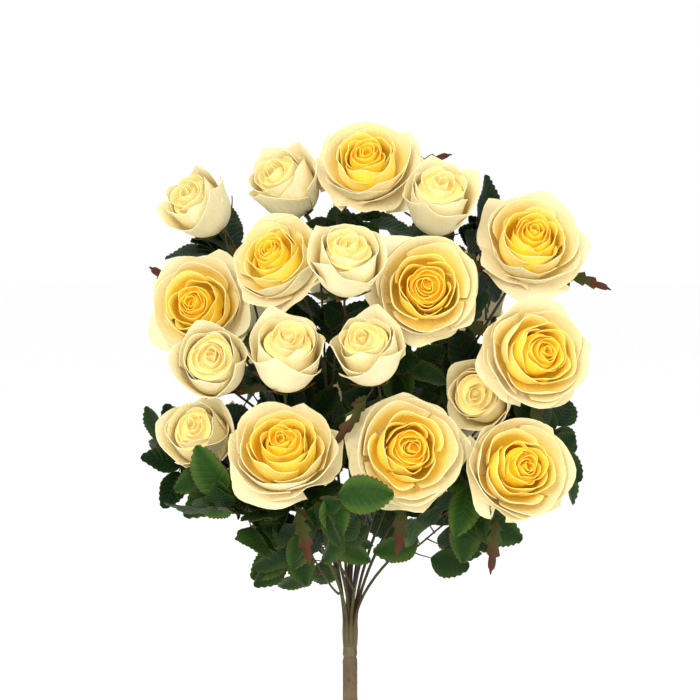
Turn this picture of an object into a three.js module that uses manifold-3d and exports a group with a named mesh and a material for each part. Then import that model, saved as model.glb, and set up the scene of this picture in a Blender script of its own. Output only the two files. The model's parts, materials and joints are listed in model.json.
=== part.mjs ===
// An artificial rose bush: a moulded handle with a flat cut foot, plastic-coated wire stems that
// fan out of it, open roses on the stems' tips, half-open roses on side stalks, and leafy shoots.
// Millimetres, +Z up. The front of the bush faces -Y. The origin is the centre of the flat cut
// under the handle.

import * as THREE from "three";
import { mergeVertices } from "three/addons/utils/BufferGeometryUtils.js";
import Module from "manifold-3d";

const wasm = await Module();
wasm.setup();

// ---- Driving dimensions -----------------------------------------------------------------------

const HANDLE_RADIUS = 7.1;
const HANDLE_HEIGHT = 115;
const RING_HEIGHT = 87; // a moulded ring groove round the handle
const SEAT_GAP = 0.3; // between a piece and what carries it

const STEM_RADIUS = { root: 1.5, tip: 1.2 };
const STALK_RADIUS = { root: 1.2, tip: 1.1 };
const SHOOT_RADIUS = { root: 1.1, tip: 0.8 };
const PETIOLE_RADIUS = 0.7;
const INNER_ROOTS = 2.15; // radius of the inner circle of stem roots in the handle
const OUTER_ROOTS = 5.4;

const NECK = 14; // the straight stalk under each calyx, part of the head
const ROSE_MIDDLE = 25; // from the calyx base up to the middle of an open rose
const BUD_MIDDLE = 33;

const LEAF_LENGTH = 45;
const LEAF_WIDTH = 32;
const LEAF_THICKNESS = 1.6;
const YOUNG_THICKNESS = 1.4;
const LEAF_DROOP = 0.16; // how far the tip bends back, as a share of the length
const LEAF_FOLD = 0.2; // how far the edges rise beside the midrib, as a share of the half width

// The heads are set out on sight lines from a point in front of the bush. across and up are where
// the sight line meets the upright plane through the handle, and fore is how far the head stands
// in front of that plane.
const VIEW_DISTANCE = 1500;
const VIEW_HEIGHT = 462;

// name, across, up, fore, turn to the right, tilt above level, size, and the clock angle of its
// young leaf if it has one
const ROSES = [
  ["rose_01", 17, 556, 25, -8, 36, 1.0, 55],
  ["rose_02", 171, 482, 45, 8, 29, 1.03, 105],
  ["rose_03", -68, 465, 80, -28, 30, 0.95, 200],
  ["rose_04", 72, 440, 110, 5, 14, 1.02, 118],
  ["rose_05", -143, 424, 38, -17, 15, 1.0, 305],
  ["rose_06", 175, 378, 112, 15, 16, 1.03, 168],
  ["rose_07", -62, 285, 138, 2, 40, 1.05, 165],
  ["rose_08", 54, 286, 125, 10, 13, 1.06, 180],
  ["rose_09", 159, 269, 124, 16, 19, 1.02, 195],
  ["rose_10", -112, 402, -95, -142, 28, 0.98, 240],
  ["rose_11", 104, 440, -90, 140, 32, 1.0, 120],
  ["rose_12", 10, 318, -118, 176, 18, 1.02, 180],
];
const BUDS = [
  ["bud_01", -142, 518, 20, -37, 34, 0.98, 150],
  ["bud_02", -60, 537, 10, -33, 38, 1.03, 150],
  ["bud_03", 84, 522, 60, 4, 42, 1.02, 130],
  ["bud_04", -2, 464, 145, 5, 42, 0.98, null],
  ["bud_05", -130, 368, 112, -10, 25, 1.0, null],
  ["bud_06", -60, 376, 128, 5, 50, 1.04, 285],
  ["bud_07", 18, 380, 140, -15, 42, 0.97, 205],
  ["bud_08", 125, 337, 79, -22, 12, 0.98, null],
  ["bud_09", -142, 299, 80, -20, 30, 0.98, 30],
  ["bud_10", -18, 455, -95, -172, 40, 1.0, 90],
  ["bud_11", -118, 300, -70, -128, 22, 0.95, 200],
  ["bud_12", 118, 310, -75, 130, 24, 0.97, 160],
];

// Which head each stem carries, where its root stands in the handle, and whether that is on the
// inner circle.
const STEMS = [
  ["rose_01", 90, true],
  ["rose_03", 180, true],
  ["bud_06", -90, true],
  ["rose_04", 0, true],
  ["rose_05", 200, false],
  ["rose_07", 240, false],
  ["rose_08", 280, false],
  ["rose_09", 320, false],
  ["rose_06", 0, false],
  ["rose_02", 40, false],
  ["rose_11", 80, false],
  ["rose_12", 120, false],
  ["rose_10", 160, false],
];

// Which stem carries each side stalk, and how far along it.
const STALKS = {
  bud_01: ["rose_05", 0.62],
  bud_02: ["rose_03", 0.62],
  bud_03: ["rose_02", 0.55],
  bud_04: ["rose_01", 0.45],
  bud_05: ["rose_05", 0.5],
  bud_07: ["rose_04", 0.42],
  bud_08: ["rose_06", 0.5],
  bud_09: ["rose_07", 0.42],
  bud_10: ["rose_12", 0.6],
  bud_11: ["rose_10", 0.45],
  bud_12: ["rose_11", 0.42],
};

// name, the limb that carries the shoot, how far along it, the place of its end leaf's middle as
// for a head, and the clock angle in which that leaf points, seen from the front
const SHOOTS = [
  ["leaves_01", "rose_07", 0.2, -81, 175, 62, 236],
  ["leaves_02", "rose_08", 0.2, 2, 190, 62, 125],
  ["leaves_03", "rose_07", 0.4, -29, 215, 95, 150],
  ["leaves_04", "rose_08", 0.52, 14, 244, 172, 85],
  ["leaves_05", "bud_09", 0.35, -134, 263, 128, -38],
  ["leaves_06", "rose_05", 0.32, -152, 257, 60, 250],
  ["leaves_07", "rose_07", 0.36, -78, 206, 85, 265],
  ["leaves_08", "rose_09", 0.6, 108, 227, 95, 190],
  ["leaves_09", "rose_09", 0.34, 141, 211, 42, 110],
  ["leaves_10", "rose_09", 0.8, 207, 262, 30, 160],
  ["leaves_11", "rose_04", 0.55, 76, 362, 58, 95],
  ["leaves_12", "rose_06", 0.6, 157, 335, 15, 190],
  ["leaves_13", "bud_05", 0.45, -104, 335, 42, 240],
  ["leaves_14", "bud_01", 0.7, -150, 476, -6, 275],
  ["leaves_15", "rose_02", 0.75, 130, 520, 8, 10],
  ["leaves_16", "rose_05", 0.48, -186, 312, 25, 320],
  ["leaves_17", "rose_01", 0.72, 40, 498, 20, 100],
  ["leaves_18", "bud_06", 0.5, -40, 428, 12, 320],
  ["leaves_19", "rose_11", 0.5, 150, 372, -60, 80],
  ["leaves_20", "rose_10", 0.5, -70, 340, -95, 200],
  ["leaves_21", "rose_12", 0.4, 30, 215, -85, 150],
  ["leaves_22", "rose_11", 0.75, 40, 500, -70, 330],
];

// Head outlines as [height, radius] from the calyx base, for an open rose of full size and a bud.
// They say how much room a head takes.
const ROSE_ROOM = [
  [-16, 4], [0, 10], [6, 16], [12, 34], [18, 53], [29, 53], [34, 42], [47, 40], [56, 24],
];
const BUD_ROOM = [
  [-16, 4], [0, 10], [8, 17], [20, 27], [44, 34], [57, 37], [60, 34], [66, 20],
];

const COLOURS = {
  handle: { color: 0x76674a, roughness: 0.62, metalness: 0 },
  stem: { color: 0x5e5a38, roughness: 0.55, metalness: 0 },
  rose: { color: 0xf3d27c, roughness: 0.8, metalness: 0 },
  bud: { color: 0xf3e0a6, roughness: 0.8, metalness: 0 },
  leaves: { color: 0x2a4a1c, roughness: 0.6, metalness: 0 },
};

// ---- Seeded numbers and small vector tools ----------------------------------------------------

function seeded(seed) {
  let state = seed >>> 0;
  return () => {
    state = (Math.imul(state, 1664525) + 1013904223) >>> 0;
    return state / 4294967296;
  };
}

const degrees = (angle) => (angle * Math.PI) / 180;
const vector = (x, y, z) => new THREE.Vector3(x, y, z);
const plus = (a, b, share = 1) => a.clone().addScaledVector(b, share);
const towards = (a, b) => b.clone().sub(a).normalize();

// b turned to stand square on the unit vector a, at length 1.
function squareTo(a, b) {
  return plus(b, a, -b.dot(a)).normalize();
}

function onSightLine(across, up, fore) {
  const share = fore / VIEW_DISTANCE;
  return vector(across * (1 - share), -fore, up + (VIEW_HEIGHT - up) * share);
}

// A point on the straight-line outline of [height, radius] pairs.
function radiusAt(outline, height) {
  for (let i = 1; i < outline.length; i++) {
    const [h0, r0] = outline[i - 1];
    const [h1, r1] = outline[i];
    if (height <= h1) return r0 + ((r1 - r0) * (height - h0)) / (h1 - h0);
  }
  return 0;
}

// ---- Where everything is ----------------------------------------------------------------------

function placeHead([name, across, up, fore, turn, tilt, size, clock]) {
  const open = name.startsWith("rose");
  const axis = vector(
    Math.sin(degrees(turn)) * Math.cos(degrees(tilt)),
    -Math.cos(degrees(turn)) * Math.cos(degrees(tilt)),
    Math.sin(degrees(tilt)),
  );
  const side = vector(Math.cos(degrees(turn)), Math.sin(degrees(turn)), 0);
  const top = new THREE.Vector3().crossVectors(axis, side);
  const base = plus(onSightLine(across, up, fore), axis, -(open ? ROSE_MIDDLE : BUD_MIDDLE) * size);
  return { name, open, axis, side, top, base, size, clock, foot: plus(base, axis, -NECK) };
}

const heads = new Map([...ROSES, ...BUDS].map((row) => [row[0], placeHead(row)]));

// A young leaf on a thin stalk from the neck. Its clock angle is measured from the head's top.
const YOUNG_LEAF = { stalk: 34, length: 40, width: 15 };

function youngLeaf(head) {
  const angle = degrees(90 - head.clock);
  const out = plus(
    head.side.clone().multiplyScalar(Math.cos(angle)),
    head.top,
    Math.sin(angle),
  );
  const way = plus(out.clone(), head.axis, head.open ? -0.05 : -0.2).normalize();
  const base = plus(head.base, head.axis, -NECK * 0.6);
  const end = plus(base, way, YOUNG_LEAF.stalk * head.size * (head.open ? 1 : 0.5));
  return { base, end, way };
}

const LIMB_STEPS = 8;

const LEAVING_REACH = 0.3; // shares of a limb's span over which it keeps its first and last way
const ARRIVING_REACH = 0.18;

// A limb is a cubic curve given by its end points and the ways in which it leaves and arrives.
// A corner of its flat-sided section points to seat at its start.
function limb(name, start, leaving, end, arriving, radius, seat) {
  const span = start.distanceTo(end);
  const curve = new THREE.CubicBezierCurve3(
    start,
    plus(start, leaving, LEAVING_REACH * span),
    plus(end, arriving, -ARRIVING_REACH * span),
    end,
  );
  const points = [];
  const ways = [];
  for (let i = 0; i <= LIMB_STEPS; i++) {
    points.push(curve.getPoint(i / LIMB_STEPS));
    ways.push(curve.getTangent(i / LIMB_STEPS));
  }
  return { name, curve, points, ways, radius, seat };
}

// The point at the share t of a limb's straight pieces.
function onLimb(made, t) {
  const i = Math.min(Math.floor(t * LIMB_STEPS), LIMB_STEPS - 1);
  return made.points[i].clone().lerp(made.points[i + 1], t * LIMB_STEPS - i);
}

const radiusAlong = (made, t) => made.radius.root + (made.radius.tip - made.radius.root) * t;

// A side limb starts beside its carrier, leaves nearly along it and bends away to its end.
function sideLimb(name, carrier, t, end, arriving, radius) {
  const along = carrier.curve.getTangent(t);
  const middle = onLimb(carrier, t);
  const away = squareTo(along, towards(middle, end));
  const offset = radiusAlong(carrier, t) + radius.root + SEAT_GAP;
  const start = plus(middle, away, offset);
  const leaving = plus(along, away, 0.6).normalize();
  return limb(name, start, leaving, end, arriving, radius, away.clone().negate());
}

const limbs = new Map();

for (const [name, angle, inner] of STEMS) {
  const head = heads.get(name);
  const circle = inner ? INNER_ROOTS : OUTER_ROOTS;
  const out = vector(Math.cos(degrees(angle)), Math.sin(degrees(angle)), 0);
  const start = plus(vector(0, 0, HANDLE_HEIGHT + SEAT_GAP), out, circle);
  const end = plus(head.foot, head.axis, -SEAT_GAP);
  limbs.set(name, limb(name, start, vector(0, 0, 1), end, head.axis, STEM_RADIUS, out));
}
for (const [name, [carrier, t]] of Object.entries(STALKS)) {
  const head = heads.get(name);
  limbs.set(name, sideLimb(name, limbs.get(carrier), t, head.foot, head.axis, STALK_RADIUS));
}

// ---- Leaves: where they grow, and which find room ---------------------------------------------

// Half the width of a leaf at a share of its length, as a share of its full half width.
const leafOutline = (s) => Math.sin(Math.PI * Math.pow(s, 0.8)) ** 0.75;

// A point of the blade at the share s of its length and u, from -1 to 1, of its half width.
function onLeaf(leaf, s, u) {
  const half = (leaf.width / 2) * leafOutline(s) * u;
  const back = -leaf.droop * leaf.length * s * s + LEAF_FOLD * Math.abs(half);
  return plus(plus(plus(leaf.base, leaf.along, leaf.length * s), leaf.across, half), leaf.normal, back);
}

const LEAF_SAMPLES = [];
for (const s of [0.1, 0.24, 0.38, 0.52, 0.66, 0.8, 0.92, 1]) {
  for (const u of [-1, -0.5, 0, 0.5, 1]) LEAF_SAMPLES.push([s, u]);
}

// The least gaps of a leaf to heads, limbs, other leaves and those of its own shoot, and of a
// leaf's stalk to heads and limbs.
const HEAD_MARGIN = 2.2;
const LIMB_MARGIN = 3.2;
const LEAF_MARGIN = 5;
const SAME_SHOOT_MARGIN = 3;
const STALK_MARGIN = 2;

function clearOfHeads(point, margin) {
  for (const head of heads.values()) {
    const from = point.clone().sub(head.base).divideScalar(head.size);
    const height = from.dot(head.axis);
    const room = head.open ? ROSE_ROOM : BUD_ROOM;
    if (height < room[0][0] - margin || height > room[room.length - 1][0] + margin) continue;
    const out = plus(from, head.axis, -height).length();
    if (out < radiusAt(room, Math.max(height, room[0][0])) + margin) return false;
  }
  return true;
}

function distanceToSegment(point, a, b) {
  const ab = b.clone().sub(a);
  const t = Math.min(1, Math.max(0, point.clone().sub(a).dot(ab) / ab.lengthSq()));
  return point.distanceTo(plus(a, ab, t));
}

// rods holds every limb, shoot and petiole placed so far, as short straight pieces.
const rods = [];
function addRods(points, radius, shoot) {
  for (let i = 1; i < points.length; i++) {
    rods.push({ a: points[i - 1], b: points[i], radius, shoot });
  }
}
for (const made of limbs.values()) addRods(made.points, made.radius.root, null);
for (const head of heads.values()) {
  if (head.clock === null) continue;
  const { base, end, way } = youngLeaf(head);
  addRods([base, end], PETIOLE_RADIUS, null);
  addRods([end, plus(end, way, YOUNG_LEAF.length)], YOUNG_LEAF.width / 3, null);
}

const clearOfRods = (point, margin, shoot) =>
  rods.every(
    (rod) =>
      (shoot && rod.shoot === shoot) || distanceToSegment(point, rod.a, rod.b) > rod.radius + margin,
  );

const placedLeaves = [];
function clearOfLeaves(samples, middle, reach, shoot, set) {
  return placedLeaves.every((other) => {
    if (other.shoot === shoot && other.set === set) return true;
    const margin = other.shoot === shoot ? SAME_SHOOT_MARGIN : LEAF_MARGIN;
    if (other.middle.distanceTo(middle) > other.reach + reach + margin) return true;
    return samples.every((p) => other.samples.every((q) => p.distanceTo(q) > margin));
  });
}

function leafFits(leaf, shoot, set) {
  const samples = LEAF_SAMPLES.map(([s, u]) => onLeaf(leaf, s, u));
  const middle = onLeaf(leaf, 0.5, 0);
  const reach = leaf.length * 0.6;
  const fits =
    samples.every((p) => clearOfHeads(p, HEAD_MARGIN)) &&
    samples.every((p) => clearOfRods(p, LIMB_MARGIN, shoot)) &&
    clearOfLeaves(samples, middle, reach, shoot, set);
  if (fits) placedLeaves.push({ shoot, set, samples, middle, reach });
  return fits;
}

function stalkFits(from, to, shoot, set) {
  const samples = [0.4, 0.7, 1].map((t) => from.clone().lerp(to, t));
  return (
    samples.every((p) => clearOfHeads(p, STALK_MARGIN) && clearOfRods(p, STALK_MARGIN, shoot)) &&
    clearOfLeaves(samples, samples[1], from.distanceTo(to), shoot, set)
  );
}

// Where sets of leaves leave a shoot, to which side, and on how long a stalk.
const SETS = [
  { at: 1, lean: 0, petiole: 12 },
  { at: 0.68, lean: 1, petiole: 24 },
  { at: 0.36, lean: -1, petiole: 24 },
];
const SIDE_LEAF_ANGLE = 76;
const SIDE_LEAF_BACK = 9; // how far before the end of the petiole the side leaves stand
const LEAF_TRIES = 8;
const STALK_SINK = 1.2; // how deep a leaf's stalk is sunk into its twig
const BACK_HALF = -30; // shoots that stand further back than this face backwards
const CROWN_MIDDLE = vector(0, 10, 330); // leaves face away from it
const FACING = { fore: 0.6, up: 0.5 }; // and turn this much to the front and up
const LEAN = { least: 40, more: 40 }; // how far a set leans off its shoot, in degrees
const RISE = { most: 0.8, below: 0.35 }; // and out of the leaves' plane
const SIDE_LEAF_SIZE = 0.86;
const LEAF_SIZE = { least: 0.86, more: 0.26 };
const LEAF_ANGLE_SPREAD = 12;
const LEAF_RISE = 0.3;
const LEAF_TILT = 0.7;
const DROOP = { least: 0.4, more: 1.2 }; // shares of LEAF_DROOP

function placeShoot([name, carrierName, t, across, up, fore, clock], index) {
  const front = fore < BACK_HALF ? -1 : 1;
  const pointing = vector(Math.sin(degrees(clock)), -0.2 * front, Math.cos(degrees(clock)));
  pointing.normalize();
  const back = -LEAF_LENGTH / 2 - SETS[0].petiole;
  const tip = plus(onSightLine(across, up, fore), pointing, back);
  const carrier = limbs.get(carrierName);
  const arriving = plus(pointing, towards(onLimb(carrier, t), tip), 0.5).normalize();
  const shoot = sideLimb(name, carrier, t, tip, arriving, SHOOT_RADIUS);
  addRods(shoot.points, shoot.radius.root, name);
  const facing = plus(towards(CROWN_MIDDLE, tip), vector(0, -FACING.fore * front, FACING.up));
  return { name, shoot, pointing, facing, random: seeded(7919 * (index + 1)), petioles: [], leaves: [] };
}

function growSet(made, set) {
  const { name, shoot, random } = made;
  const from = onLimb(shoot, set.at);
  const along = set.lean ? shoot.curve.getTangent(set.at) : made.pointing;
  const face = squareTo(along, made.facing);
  const across = new THREE.Vector3().crossVectors(along, face);
  const tries = set.lean ? LEAF_TRIES : 1;
  for (let attempt = 0; attempt < tries; attempt++) {
    const lean = degrees(set.lean * (LEAN.least + LEAN.more * random()));
    const rise = set.lean ? RISE.most * (random() - RISE.below) : 0;
    const flat = plus(along.clone().multiplyScalar(Math.cos(lean)), across, Math.sin(lean));
    const way = plus(flat, face, rise).normalize();
    const end = plus(from, way, set.petiole);
    const grown = stalkFits(from, end, name, set) ? growLeaves(name, set, end, way, face, random) : [];
    if (!grown.length) continue;
    made.petioles.push([plus(from, way, -STALK_SINK), end]);
    made.leaves.push(...grown);
    addRods([from, end], PETIOLE_RADIUS, name);
    return;
  }
}

// An end leaf and two side leaves on one petiole. Each is left out where it has no room.
function growLeaves(name, set, end, way, face, random) {
  const grown = [];
  const across = new THREE.Vector3().crossVectors(way, squareTo(way, face));
  for (const side of [0, 1, -1]) {
    const angle = degrees(side * (SIDE_LEAF_ANGLE + LEAF_ANGLE_SPREAD * (random() - 0.5)));
    const size = (side ? SIDE_LEAF_SIZE : 1) * (LEAF_SIZE.least + LEAF_SIZE.more * random());
    const along = plus(way.clone().multiplyScalar(Math.cos(angle)), across, Math.sin(angle));
    along.addScaledVector(face, LEAF_RISE * (random() - 0.5)).normalize();
    const tilted = plus(face, vector(random() - 0.5, random() - 0.5, random() - 0.5), LEAF_TILT);
    const normal = squareTo(along, tilted);
    const leaf = {
      base: plus(end, way, side ? -SIDE_LEAF_BACK : 0),
      along,
      normal,
      across: new THREE.Vector3().crossVectors(normal, along),
      length: LEAF_LENGTH * size,
      width: LEAF_WIDTH * size,
      droop: LEAF_DROOP * (DROOP.least + DROOP.more * random()),
    };
    if (leafFits(leaf, name, set)) grown.push(leaf);
  }
  return grown;
}

const shoots = SHOOTS.map(placeShoot);
for (const set of SETS) {
  for (const made of shoots) growSet(made, set);
}

// ---- Solids -----------------------------------------------------------------------------------

function solidOf(geometry) {
  geometry.deleteAttribute("normal");
  geometry.deleteAttribute("uv");
  const merged = mergeVertices(geometry, 1e-4);
  return new wasm.Manifold(
    new wasm.Mesh({
      numProp: 3,
      vertProperties: merged.attributes.position.array,
      triVerts: new Uint32Array(merged.index.array),
    }),
  );
}

function geometryOf(solid) {
  const { vertProperties, triVerts } = solid.getMesh();
  const geometry = new THREE.BufferGeometry();
  geometry.setAttribute("position", new THREE.BufferAttribute(vertProperties, 3));
  geometry.setIndex(new THREE.BufferAttribute(triVerts, 1));
  geometry.computeVertexNormals();
  return geometry;
}

const joined = (solids) => solids.reduce((all, solid) => all.add(solid));

// A closed skin over rings of equal point counts, with a point at each end.
function skin(rings, first, last) {
  const count = rings[0].length;
  const points = [first, ...rings.flat(), last];
  const faces = [];
  const at = (ring, i) => 1 + ring * count + (i % count);
  for (let i = 0; i < count; i++) {
    faces.push(0, at(0, i + 1), at(0, i));
    for (let ring = 1; ring < rings.length; ring++) {
      faces.push(at(ring - 1, i), at(ring - 1, i + 1), at(ring, i + 1));
      faces.push(at(ring - 1, i), at(ring, i + 1), at(ring, i));
    }
    faces.push(at(rings.length - 1, i), at(rings.length - 1, i + 1), points.length - 1);
  }
  const geometry = new THREE.BufferGeometry().setFromPoints(points);
  geometry.setIndex(faces);
  return geometry;
}

// A tapering tube of flat sides along a list of points, with the way that it takes at each. A
// corner of its first ring points to seat.
function tube(points, ways, { root, tip }, sides, seat) {
  const rings = [];
  let side = seat;
  points.forEach((point, i) => {
    const along = ways[i];
    side = squareTo(along, side);
    const other = new THREE.Vector3().crossVectors(along, side);
    const radius = root + ((tip - root) * i) / (points.length - 1);
    const ring = [];
    for (let j = 0; j < sides; j++) {
      const angle = (2 * Math.PI * j) / sides;
      ring.push(plus(plus(point, side, radius * Math.cos(angle)), other, radius * Math.sin(angle)));
    }
    rings.push(ring);
  });
  return skin(rings, points[0], points[points.length - 1]);
}

// The straight thin stalk of a leaf.
function rod(from, to) {
  const way = towards(from, to);
  const radius = { root: PETIOLE_RADIUS, tip: PETIOLE_RADIUS };
  return solidOf(tube([from, to], [way, way], radius, 3, vector(0.31, 0.83, 0.47)));
}

const LEAF_CORNERS = [[0, 0], [0.45, -1.1], [1, 0], [0.45, 1.1]];

// A leaf with four corners, thickest on its midrib. Its base is sunk into what carries it.
function leafSolid(leaf, thickness = LEAF_THICKNESS) {
  const rim = LEAF_CORNERS.map(([s, u]) => onLeaf(leaf, s, u));
  const middle = onLeaf(leaf, 0.4, 0);
  rim[0] = plus(leaf.base, leaf.along, -1.5);
  const front = plus(middle, leaf.normal, thickness / 2);
  const back = plus(middle, leaf.normal, -thickness / 2);
  return solidOf(skin([rim], back, front));
}

// A young leaf or a sepal is slimmer.
function bladeSolid(base, along, normal, length, width, droop) {
  const blade = {
    base,
    along,
    normal,
    across: new THREE.Vector3().crossVectors(normal, along),
    length,
    width,
    droop,
  };
  return leafSolid(blade, YOUNG_THICKNESS);
}

// ---- Heads ------------------------------------------------------------------------------------

// Rows of [radius, height, lobe depth, lobe phase in degrees]: under the outer petals and over
// their rim, down to the cup of inner petals and over its rim, then the rolled heart.
const ROSE_ROWS = [
  [2, -NECK, 0, 0], [2.2, -1, 0, 0], [9, 3, 0, 0], [22, 11, 0, 0],
  [45, 20, 0.08, 0], [49, 25, 0.09, 0], [38, 29, 0.05, 0], [31, 27, 0, 0],
  [34, 44, 0.07, 36], [28, 47, 0.06, 36], [20, 38, 0, 0], [15, 52, 0.05, 0],
];
const ROSE_TIP = 50;
const BUD_ROWS = [
  [2, -NECK, 0, 0], [2.2, -1, 0, 0], [8, 3, 0, 0], [15, 10, 0, 0],
  [28, 25, 0.03, 0], [30.5, 44, 0.05, 0], [32.5, 56, 0.1, 0], [27, 58, 0.08, 0],
  [19, 48, 0, 0], [15, 60, 0.06, 60],
];
const BUD_TIP = 58;
const SEPALS = 5;

function headSolid(head) {
  const rows = head.open ? ROSE_ROWS : BUD_ROWS;
  const lobes = head.open ? 5 : 3;
  const sectors = head.open ? 10 : 9;
  const place = (radius, height, angle) =>
    plus(
      plus(
        plus(head.base, head.axis, height),
        head.side,
        radius * Math.cos(angle),
      ),
      head.top,
      radius * Math.sin(angle),
    );
  const scaled = (height) => (height < 0 ? height : height * head.size);
  const rings = rows.map(([radius, height, lobe, phase]) => {
    const ring = [];
    for (let i = 0; i < sectors; i++) {
      const angle = (2 * Math.PI * i) / sectors + degrees(head.clock);
      const wave = Math.cos(lobes * ((2 * Math.PI * i) / sectors - degrees(phase)));
      const size = height < 0 ? 1 : head.size;
      ring.push(place(radius * size * (1 + lobe * wave), scaled(height), angle));
    }
    return ring;
  });
  const body = solidOf(
    skin(rings, place(0, -NECK, 0), place(0, scaled(head.open ? ROSE_TIP : BUD_TIP), 0)),
  );
  return joined([body, ...sepalSolids(head), ...youngLeafSolid(head), ...stalkSolid(head)]);
}

// Sepals hug the cup of a bud.
function sepalSolids(head) {
  const solids = [];
  if (head.open) return solids;
  for (let i = 0; i < SEPALS; i++) {
    const angle = (2 * Math.PI * (i + 0.5)) / SEPALS + degrees(head.clock);
    const out = plus(
      head.side.clone().multiplyScalar(Math.cos(angle)),
      head.top,
      Math.sin(angle),
    );
    const along = plus(out.clone(), head.axis, 1.15).normalize();
    const base = plus(plus(head.base, head.axis, 1), out, 3);
    solids.push(
      bladeSolid(base, along, squareTo(along, head.axis), 24 * head.size, 9 * head.size, 0.05),
    );
  }
  return solids;
}

function youngLeafSolid(head) {
  if (head.clock === null) return [];
  const { base, end, way } = youngLeaf(head);
  const stalk = rod(base, plus(end, way, 3));
  const normal = squareTo(way, head.axis);
  const blade = bladeSolid(end, way, normal, YOUNG_LEAF.length, YOUNG_LEAF.width, 0.08);
  return [stalk, blade];
}

// A bud's side stalk is one piece with it.
function stalkSolid(head) {
  if (!(head.name in STALKS)) return [];
  const stalk = limbs.get(head.name);
  const points = [...stalk.points, plus(head.foot, head.axis, 2)];
  return [solidOf(tube(points, [...stalk.ways, head.axis], stalk.radius, 4, stalk.seat))];
}

// ---- Handle and stems -------------------------------------------------------------------------

const HANDLE_SIDES = 14;
const STEM_SIDES = 5;

function handleGeometry() {
  const r = HANDLE_RADIUS;
  const profile = [
    [0, 0], [r - 0.5, 0], [r - 0.1, 1.5], [r - 0.35, 28], [r - 0.05, 58],
    [r - 0.1, RING_HEIGHT - 3], [r - 0.9, RING_HEIGHT - 0.8], [r - 0.9, RING_HEIGHT + 0.6],
    [r, RING_HEIGHT + 3.5], [r + 0.1, HANDLE_HEIGHT - 4], [r - 0.1, HANDLE_HEIGHT], [0, HANDLE_HEIGHT],
  ].map(([x, y]) => new THREE.Vector2(x, y));
  return new THREE.LatheGeometry(profile, HANDLE_SIDES).rotateX(Math.PI / 2);
}

// ---- The assembly -----------------------------------------------------------------------------

const group = new THREE.Group();

function add(name, finish, solid) {
  const mesh = new THREE.Mesh(geometryOf(solid), new THREE.MeshStandardMaterial(COLOURS[finish]));
  mesh.name = name;
  group.add(mesh);
}

add("handle", "handle", solidOf(handleGeometry()));
for (const [name] of STEMS) {
  const { points, ways, radius, seat } = limbs.get(name);
  add("stem_" + name, "stem", solidOf(tube(points, ways, radius, STEM_SIDES, seat)));
}
for (const head of heads.values()) add(head.name, head.open ? "rose" : "bud", headSolid(head));
for (const { name, shoot, petioles, leaves } of shoots) {
  const twig = solidOf(tube(shoot.points, shoot.ways, shoot.radius, 3, shoot.seat));
  const stalks = petioles.map(([from, to]) => rod(from, plus(to, towards(from, to), 4)));
  add(name, "leaves", joined([twig, ...stalks, ...leaves.map((leaf) => leafSolid(leaf))]));
}

export default group;
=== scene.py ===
"""An artificial rose bush. Cloth roses, open and half open, stand on plastic-coated wire stems that
fan out of one moulded handle, with leafy side shoots between them."""

import json
import math

import bpy
import numpy as np
from mathutils import Matrix, Vector

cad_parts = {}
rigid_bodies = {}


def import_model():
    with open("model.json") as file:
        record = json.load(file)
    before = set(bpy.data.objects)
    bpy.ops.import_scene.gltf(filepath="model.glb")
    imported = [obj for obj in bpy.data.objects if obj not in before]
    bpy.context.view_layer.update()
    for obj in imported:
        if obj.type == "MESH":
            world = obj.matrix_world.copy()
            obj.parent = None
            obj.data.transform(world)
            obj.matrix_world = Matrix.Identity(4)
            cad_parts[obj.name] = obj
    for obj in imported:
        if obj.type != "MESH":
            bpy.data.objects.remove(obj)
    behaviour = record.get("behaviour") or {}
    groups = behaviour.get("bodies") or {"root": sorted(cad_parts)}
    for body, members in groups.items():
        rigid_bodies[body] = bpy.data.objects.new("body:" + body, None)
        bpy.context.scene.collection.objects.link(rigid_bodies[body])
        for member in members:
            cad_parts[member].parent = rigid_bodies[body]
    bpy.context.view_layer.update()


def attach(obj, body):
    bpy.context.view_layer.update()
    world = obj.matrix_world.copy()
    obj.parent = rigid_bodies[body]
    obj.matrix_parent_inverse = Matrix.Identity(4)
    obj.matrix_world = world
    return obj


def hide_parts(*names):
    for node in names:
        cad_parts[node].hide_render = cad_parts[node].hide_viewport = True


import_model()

# ---- The studio ------------------------------------------------------------------------------------
# A pale floor that runs to the horizon, broad soft lamps in front and above, and a camera a metre and
# a half in front of the bush, at the height of its upper flowers.

MM = 0.001
VIEW_DISTANCE = 1500
VIEW_HEIGHT = 462
AIM_HEIGHT = 382.5
LENS = 81.2
SENSOR_WIDTH = 36.0
LIGHT_BOUNCES = 10
FLOOR_REACH = 40.0
FLOOR_ROUGHNESS = 0.9
LAMP_AIM = (0.0, 0.0, 0.38)
# name, place and width in metres, and watts
LAMPS = [
    ("key_lamp", (-0.55, -1.8, 1.05), 0.8, 19.0),
    ("fill_lamp", (0.9, -1.7, 0.5), 1.2, 8.0),
    ("top_lamp", (0.2, 0.4, 1.9), 1.4, 5.0),
]


def linear(red, green, blue):
    """A screen colour from 0 to 255 as the linear colour that shaders take."""
    parts = [c / 255 for c in (red, green, blue)]
    return tuple(c / 12.92 if c <= 0.04045 else ((c + 0.055) / 1.055) ** 2.4 for c in parts) + (1.0,)


def finish(name):
    """A new material, its node tree and its shader."""
    material = bpy.data.materials.new(name)
    material.use_nodes = True
    tree = material.node_tree
    return material, tree, tree.nodes["Principled BSDF"]


def node(tree, kind, inputs=None, **settings):
    """A new node. Inputs go by name or number, and each is a plain value or another node's output."""
    made = tree.nodes.new(kind)
    for key, value in settings.items():
        setattr(made, key, value)
    for key, value in (inputs or {}).items():
        if isinstance(value, bpy.types.NodeSocket):
            tree.links.new(value, made.inputs[key])
        else:
            made.inputs[key].default_value = value
    return made


def object_place(tree):
    return node(tree, "ShaderNodeTexCoord").outputs["Object"]


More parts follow.
